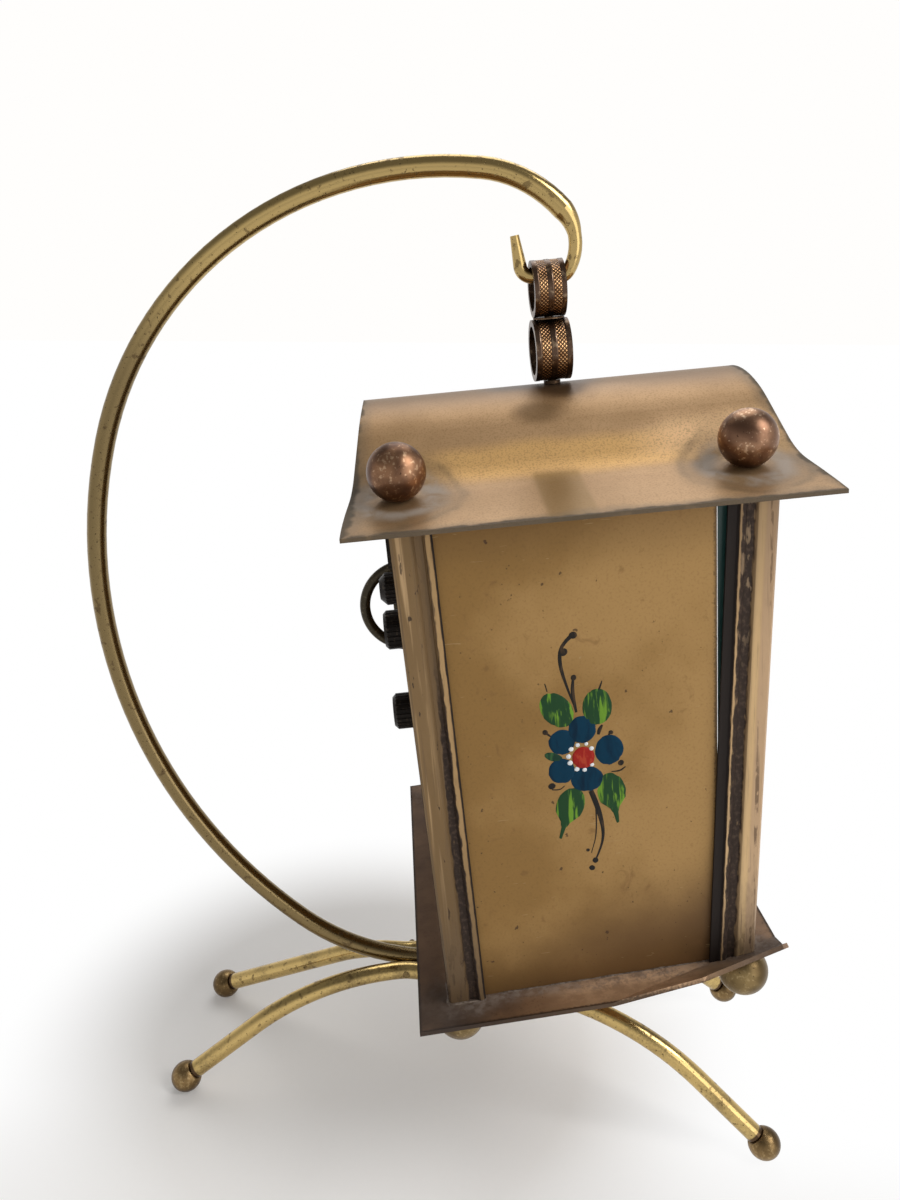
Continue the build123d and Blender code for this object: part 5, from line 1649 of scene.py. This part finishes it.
# ---- back cover details ------------------------------------------------------------------------
@dataclass
class BackDetails:
    """Pressed arrows, bushings and the regulator's marks on the back cover.

    Args:
        face_y: the cover's face along Y.
        keys: X and Z of each winding key, and its arrow's radius.
        arbors: X and Z of each bushing.
        bushing_r: a bushing's middle radius.
        bushing_half: half of its flange's width.
        regulator: X and Z of the regulator's pivot.
        scale: radii of each mark's inner end, middle and outer end.
        scale_turns: degrees of the marks from upright.
        sign_x: from the regulator's pivot across to each sign.
        sign_rise: from the pivot up to the signs.
        sign_half: half of a sign's stroke.
        line_half: half widths of an arrow's shaft, a scale mark and a sign.
        raised: how far shafts, heads and marks stand up.
    """

    face_y: float = 34.4
    keys: tuple[Point, ...] = ((18.5, -55.4, 14.0), (-18.0, -38.4, 8.6))
    arbors: tuple[tuple[float, float], ...] = ((0.0, -55.4), (0.0, -77.2), (18.5, -55.4), (-18.0, -38.4))
    bushing_r: float = 2.45
    bushing_half: float = 0.5
    regulator: tuple[float, float] = (0.0, -90.72)
    scale: Point = (9.2, 10.2, 11.2)
    scale_turns: Row = (-28.0, -14.0, 0.0, 14.0, 28.0)
    sign_x: float = 8.6
    sign_rise: float = 8.5
    sign_half: float = 1.2
    line_half: Point = (0.45, 0.16, 0.2)
    raised: Point = (0.16, 0.22, 0.12)

    def board(self) -> Matrix:
        """Return axes on the cover: X to the right from behind, Y up, Z out of the cover."""
        turn = Matrix(((-1, 0, 0), (0, 0, 1), (0, 1, 0))).transposed().to_4x4()
        return LANTERN.matrix() @ Matrix.Translation((0, self.face_y * MM, 0)) @ turn

    def arrow(self, x: float, y: float, radius: float) -> list[bpy.types.Object]:
        """Make one curved arrow round a key.

        Args:
            x: the key's place.
            y: the key's place.
            radius: of the arrow, in millimetres.

        Returns:
            Its shaft and its head.
        """
        angles = [math.radians(90 + a) for a in range(-50, 51, 20)]
        points = [(x + radius * math.cos(a), y + radius * math.sin(a), self.line_half[0]) for a in angles]
        tip_x, tip_y, _ = points[-1]
        turn = math.degrees(angles[-1]) + 90
        shaft = Bench.stroke(points, self.raised[0])
        return [shaft, Bench.dab(tip_x, tip_y, (1.7, 1.5), self.raised[1], turn, 1.2, 5)]

    def bushing(self, x: float, y: float) -> bpy.types.Object:
        """Make one flanged bushing round an arbor.

        Args:
            x: the arbor's place.
            y: the arbor's place.

        Returns:
            The bushing.
        """
        piece = Bench.hoop(self.bushing_r, self.bushing_half, 0.7, (40, 10))
        Bench.bake_place(piece, Matrix.Translation((x * MM, y * MM, 0)))
        return piece

    def mark(self, turn: float) -> bpy.types.Object:
        """Make one mark of the regulator's scale, turned by some degrees from upright."""
        x, y = self.regulator
        a = math.radians(90 + turn)
        ends = [(x + r * math.cos(a), y + r * math.sin(a), self.line_half[1]) for r in self.scale]
        return Bench.stroke(ends, self.raised[2])

    def bar(self, x: float, way: tuple[int, int]) -> bpy.types.Object:
        """Make one stroke of a plus or minus sign.

        Args:
            x: the sign's place.
            way: (1, 0) for the level stroke and (0, 1) for the upright one.

        Returns:
            The stroke.
        """
        y = self.regulator[1] + self.sign_rise
        reach = self.sign_half
        ends = [(x + s * reach * way[0], y + s * reach * way[1], self.line_half[2]) for s in (-1, 0, 1)]
        return Bench.stroke(ends, self.raised[2])

    def build(self) -> None:
        """Make the marks and bushings of the cover."""
        pressed = CutMetal("pressed_marks", (0.40, 0.25, 0.11), (0.16, 0.09, 0.045)).make()
        brass = CutMetal("bushing_brass", (0.55, 0.40, 0.17), (0.30, 0.19, 0.08)).make()
        marks = []
        for x, z, radius in self.keys:
            marks += self.arrow(-x, z, radius)
        marks += [self.mark(turn) for turn in self.scale_turns]
        for x, way in ((self.sign_x, (1, 0)), (-self.sign_x, (1, 0)), (-self.sign_x, (0, 1))):
            marks.append(self.bar(x, way))
        Bench.install(Bench.join(marks, "cover_marks"), self.board(), "lantern", "panel_gold", pressed)
        rings = [self.bushing(-x, z) for x, z in self.arbors]
        Bench.install(Bench.join(rings, "cover_bushings"), self.board(), "lantern", "movement_brass", brass)


# ---- solder ------------------------------------------------------------------------------------
@dataclass
class SolderSeams:
    """Uneven solder along the foot of each side panel and round the back posts.

    Args:
        plate_drop: the plate's top face below the lantern's origin.
        slope: degrees by which the plate falls towards the back.
        start_y: a panel seam's front end.
        length: the panel seam's length.
        post_x: the post seam's side run.
        post_y: the post seam's back run.
        half: half widths of the panel seam and of the post seam.
    """

    plate_drop: float = 126.2
    slope: float = 3.0
    start_y: float = -22.0
    length: float = 48.0
    post_x: float = 47.1
    post_y: float = 37.5
    half: tuple[float, float] = (0.22, 0.34)

    def seam(self, places: list[tuple[float, float]], half: float, seed: float) -> bpy.types.Object:
        """Make one seam that lies on the plate.

        Args:
            places: X and Y along the seam, in millimetres.
            half: its mean half width.
            seed: picks its lumps.

        Returns:
            The seam.
        """
        points = []
        for i, (x, y) in enumerate(places):
            lump = 1.0 + 0.45 * math.sin(2.3 * i + seed) + 0.3 * math.sin(5.1 * i + 2.0 * seed)
            points.append((x, y, half * lump))
        piece = Bench.stroke(points, 1.3 * half)
        turn = Matrix.Rotation(-math.radians(self.slope), 4, "X")
        Bench.bake_place(piece, Matrix.Translation((0, 0, -self.plate_drop * MM)) @ turn)
        return piece

    def build(self) -> None:
        """Make all the seams."""
        crust = SolderCrust("solder_crust").make()
        seams = []
        for s in (-1, 1):
            line = [(s * (PANEL_X + 0.1), self.start_y + self.length * i / 23) for i in range(24)]
            seams.append(self.seam(line, self.half[0], 1.7 + s))
            wrap = [(s * self.post_x, self.post_y - 8.0 + 2.0 * i) for i in range(5)]
            wrap += [(s * (46.0 - 2.0 * i), self.post_y + 0.15) for i in range(4)]
            seams.append(self.seam(wrap, self.half[1], 4.0 + s))
        Bench.install(Bench.join(seams, "solder_seams"), LANTERN.matrix(), "lantern", "plate_copper", crust)


# ---- CAD nodes' finishes -----------------------------------------------------------------------
@dataclass
class Dressing:
    """Finishes of the pieces that are already in the frame.

    Args:
        sides: the lantern's two sides.
        ends: its two ends.
        feet: centres of each base rod's ball feet, in the stand's axes.
        rings: name, depth below the hanger's origin, half width and bore of each knurled ring.
    """

    sides: tuple[str, str] = ("near", "far")
    ends: tuple[str, str] = ("front", "back")
    feet: dict[str, tuple[Point, Point]] = field(default_factory=lambda: {
        "near": ((-28.9, -93.8, 3.95), (-18.8, 59.9, 3.95)),
        "far": ((28.9, -93.8, 3.95), (18.8, 59.9, 3.95)),
    })
    rings: tuple[tuple[str, float, float, float], ...] = (
        ("upper_ring", 2.4, 3.5, 4.7),
        ("lower_ring", 15.64, 4.0, 5.34),
    )

    def pair(self, stem: str) -> list[str]:
        """Return the names of a piece that each side has."""
        return [f"{stem}_{side}" for side in self.sides]

    def corners(self, stem: str) -> list[str]:
        """Return the names of a piece that each corner has."""
        return [name for end in self.ends for name in self.pair(f"{stem}_{end}")]

    def shell(self) -> None:
        """Dress the roof, walls, posts and bottom plate."""
        dress(["roof"], RoofLacquer("roof_lacquer").make())
        dress([*self.pair("side_panel"), "back_cover"], PanelLacquer("panel_lacquer").make())
        dress(self.corners("post"), PostPaint("post_paint").make())
        dress(["bottom_plate"], PlatePatina("plate_patina").make())

    def balls(self) -> None:
        """Dress the turned balls on the roof, under the plate and on the base rods."""
        dress(self.pair("roof_ball_back"), TurnedBall("roof_ball_bronze").make())
        # front roof balls: lighter tones and more rubbed patches, partly rubbed wear and partly painted light
        # with painted highlights
        bright = TurnedBall(
            "roof_ball_rubbed_and_lit", LANTERN, (0.16, 0.085, 0.053), (0.42, 0.24, 0.14), (0.92, 0.68, 0.46), 0.75
        )
        dress(self.pair("roof_ball_front"), bright.make())
        low = TurnedBall(
            "plate_ball_brass", LANTERN, (0.12, 0.08, 0.036), (0.27, 0.19, 0.085), (0.5, 0.38, 0.2), 0.4
        )
        dress(self.corners("plate_ball"), low.make())
        foot = TurnedBall(
            "foot_ball_brass", STAND, (0.11, 0.07, 0.032), (0.26, 0.17, 0.075), (0.5, 0.36, 0.18), 0.5
        )
        dress(self.corners("foot_ball"), foot.make())

    def stand_and_hanger(self) -> None:
        """Dress the stem, base rods, rings and rivets."""
        # the stem's dull tone all over is partly tarnish and partly a painted dark reflection of the
        # surroundings
        dress(["stem", "stem_rivet"], DrawnBrass("stem_brass", (), 0.80).make())
        for side in self.sides:
            dress([f"base_rod_{side}"], DrawnBrass(f"rod_brass_{side}", self.feet[side]).make())
        for name, drop, half, bore in self.rings:
            dress([name], KnurledRing(f"{name}_knurl", HANGER.moved(0, 0, -drop), half, bore).make())
        rivet = TurnedBall(
            "rivet_copper", HANGER, (0.035, 0.022, 0.015), (0.10, 0.06, 0.035), (0.25, 0.16, 0.09)
        )
        dress(["swivel_rivet", "roof_rivet", "glass_clips"], rivet.make())

    def face(self) -> None:
        """Dress the window, the dial and its hands."""
        dress(["front_glass"], ClearGlass("window_glass").make())
        dress(["dial_plate"], AgedPaint("dial_cream", (0.76, 0.69, 0.54), (0.70, 0.62, 0.46)).make())
        black = DarkHardware("hand_black", (0.012, 0.011, 0.012), (0.06, 0.055, 0.05), 0.35).make()
        dress(["minute_hand", "hour_hand", "alarm_hand"], black)

    def controls(self) -> None:
        """Dress the controls on the back cover."""
        knobs = DarkHardware("knob_black").make()
        dress(["hand_setting_knob", "alarm_setting_knob", "alarm_winding_knob", "alarm_stop_lever"], knobs)
        dress(["regulator_lever"], knobs)
        bow = DarkHardware("bow_bronze", (0.045, 0.036, 0.022), (0.16, 0.13, 0.08), 0.36).make()
        dress(["key_bow", "key_arbor"], bow)

    def movement(self) -> None:
        """Dress the works inside the case."""
        brass = CutMetal("movement_brass").make()
        dress(["movement_front_plate", "movement_back_plate", "pillars", "dial_feet", "cover_spacers"], brass)
        dress(["time_barrel", "alarm_barrel", "hour_pipe", "balance_wheel"], brass)
        steel = CutMetal("arbor_steel", (0.56, 0.55, 0.53), (0.30, 0.29, 0.28), (0.15, 2.0, 2.0)).make()
        dress(["centre_arbor", "alarm_arbor", "alarm_winding_arbor", "hammer", "frame_screws"], steel)
        dress(["bell"], CutMetal("bell_metal", (0.60, 0.58, 0.52), (0.36, 0.33, 0.27)).make())

    def build(self) -> None:
        """Dress every node."""
        for group in (self.shell, self.balls, self.stand_and_hanger, self.face, self.controls, self.movement):
            group()


# ---- studio ------------------------------------------------------------------------------------
@dataclass
class Studio:
    """Camera, floor, lamps and white surround.

    Args:
        eye: the camera's place.
        heading: degrees from +X towards +Y that it looks.
        pitch: degrees that it looks down.
        focal_px: its focal length in pixels of the full picture.
        tall_px: that picture's height.
        sensor_mm: width of its sensor.
        near: nearest distance that it shows.
        lamps: name, place, width and power of each lamp.
        aim: the point that they are aimed at.
        floor_size: the floor's side.
        floor_z: its height, just under the feet.
        cloth: lighter and darker tone of the floor.
        fade_from: X and Y in millimetres that the floor fades away from.
        fade: distances from there between which it turns white.
        lift: least share of white on it.
        sky: tint of the white surround.
        sky_power: height, from and to, then the surround's strength there.
    """

    eye: Point = (-0.231100, -0.020403, 0.2144)
    heading: float = 4.52
    pitch: float = 18.32
    focal_px: float = 993.0
    tall_px: float = 1200.0
    sensor_mm: float = 36.0
    near: float = 0.01
    lamps: tuple[tuple[str, Point, float, float], ...] = (
        ("key", (-0.30, -0.72, 0.88), 0.60, 6.4),
        ("fill", (-0.62, -0.72, 0.34), 0.70, 1.9),
        ("back", (0.52, -0.02, 0.85), 0.70, 2.45),
    )
    aim: Point = (0.0, -0.02, 0.11)
    floor_size: float = 6.0
    floor_z: float = -0.0002
    cloth: tuple[Colour, Colour] = ((0.90, 0.88, 0.855), (0.84, 0.82, 0.795))
    fade_from: tuple[float, float] = (5.0, 22.0)
    fade: tuple[float, float] = (48.0, 112.0)
    lift: float = 0.12
    sky: Colour = (1.0, 0.99, 0.975)
    sky_power: tuple[float, float, float, float] = (0.10, 0.70, 0.85, 0.22)

    def camera(self) -> None:
        """Add the camera."""
        Bench.clear()
        turn = (math.radians(90 - self.pitch), 0.0, math.radians(self.heading - 90))
        bpy.ops.object.camera_add(location=self.eye, rotation=turn)
        camera = Bench.active()
        camera.data.sensor_width = self.sensor_mm
        camera.data.lens = self.sensor_mm * self.focal_px / self.tall_px
        camera.data.clip_start = self.near
        bpy.context.scene.camera = camera

    def floor(self) -> None:
        """Add the pale floor, which fades to white far from the clock."""
        Bench.clear()
        bpy.ops.mesh.primitive_plane_add(size=self.floor_size, location=(0, 0, self.floor_z))
        plane = Bench.active()
        plane.name = "studio_floor"
        r = Recipe("studio_floor")
        p = r.place(Axes((0.0, 0.0, 0.0)))
        x, y, _ = r.split(p)
        away = r.span(x - self.fade_from[0], y - self.fade_from[1])
        white = r.ramp(away, *self.fade) * (r.ramp(x, -65.0, -20.0) * 0.5 + 0.5)
        r.finish(r.mix(r.noise(p, 0.6, 2.0) * 0.3, *self.cloth), 0.9, 0.0)
        seen = r.node("ShaderNodeLightPath", output="Is Camera Ray")
        glossy = r.node("ShaderNodeLightPath", output="Is Glossy Ray")
        glow = r.node("ShaderNodeEmission", inputs={"Color": (1.0, 1.0, 1.0), "Strength": 1.0})
        r.blend(white.most(self.lift) * seen.most(glossy), glow)
        plane.data.materials.append(r.material)

    def surround(self) -> None:
        """Set the world: white to the camera and level, dimmer overhead for the rest."""
        world = bpy.data.worlds.new("surround")
        bpy.context.scene.world = world
        world.use_nodes = True
        tree = world.node_tree
        sky = tree.nodes["Background"]
        ray = tree.nodes.new("ShaderNodeLightPath")
        view = tree.nodes.new("ShaderNodeTexCoord")
        parts = tree.nodes.new("ShaderNodeSeparateXYZ")
        tree.links.new(view.outputs["Generated"], parts.inputs[0])
        height = tree.nodes.new("ShaderNodeMapRange")
        height.interpolation_type = "SMOOTHSTEP"
        tree.links.new(parts.outputs[2], height.inputs["Value"])
        for name, value in zip(("From Min", "From Max", "To Min", "To Max"), self.sky_power):
            height.inputs[name].default_value = value
        lit = tree.nodes.new("ShaderNodeMix")
        lit.data_type = "FLOAT"
        tree.links.new(ray.outputs["Is Camera Ray"], lit.inputs[0])
        tree.links.new(height.outputs[0], lit.inputs[2])
        lit.inputs[3].default_value = 1.0
        sky.inputs["Color"].default_value = (*self.sky, 1.0)
        tree.links.new(lit.outputs[0], sky.inputs["Strength"])

    def light(self) -> None:
        """Add the soft lamps."""
        for name, place, size, power in self.lamps:
            Bench.clear()
            bpy.ops.object.light_add(type="AREA", location=place)
            lamp = Bench.active()
            lamp.name = f"lamp_{name}"
            lamp.data.shape = "DISK"
            lamp.data.size = size
            lamp.data.energy = power
            lamp.rotation_euler = (Vector(self.aim) - Vector(place)).to_track_quat("-Z", "Y").to_euler()

    def build(self) -> None:
        """Set up the studio."""
        self.camera()
        self.floor()
        self.surround()
        self.light()
        bpy.context.scene.view_settings.view_transform = "Standard"


def main() -> None:
    """Build the clock's finishes and pieces, then the studio."""
    logging.basicConfig(level=logging.INFO, format="%(name)s %(message)s")
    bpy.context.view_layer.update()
    for group in (Dressing(), FolkFlower(), DialPrint(), BackDetails(), SolderSeams(), Studio()):
        group.build()
        log.info("%s done", type(group).__name__)


if __name__ == "__main__":
    main()
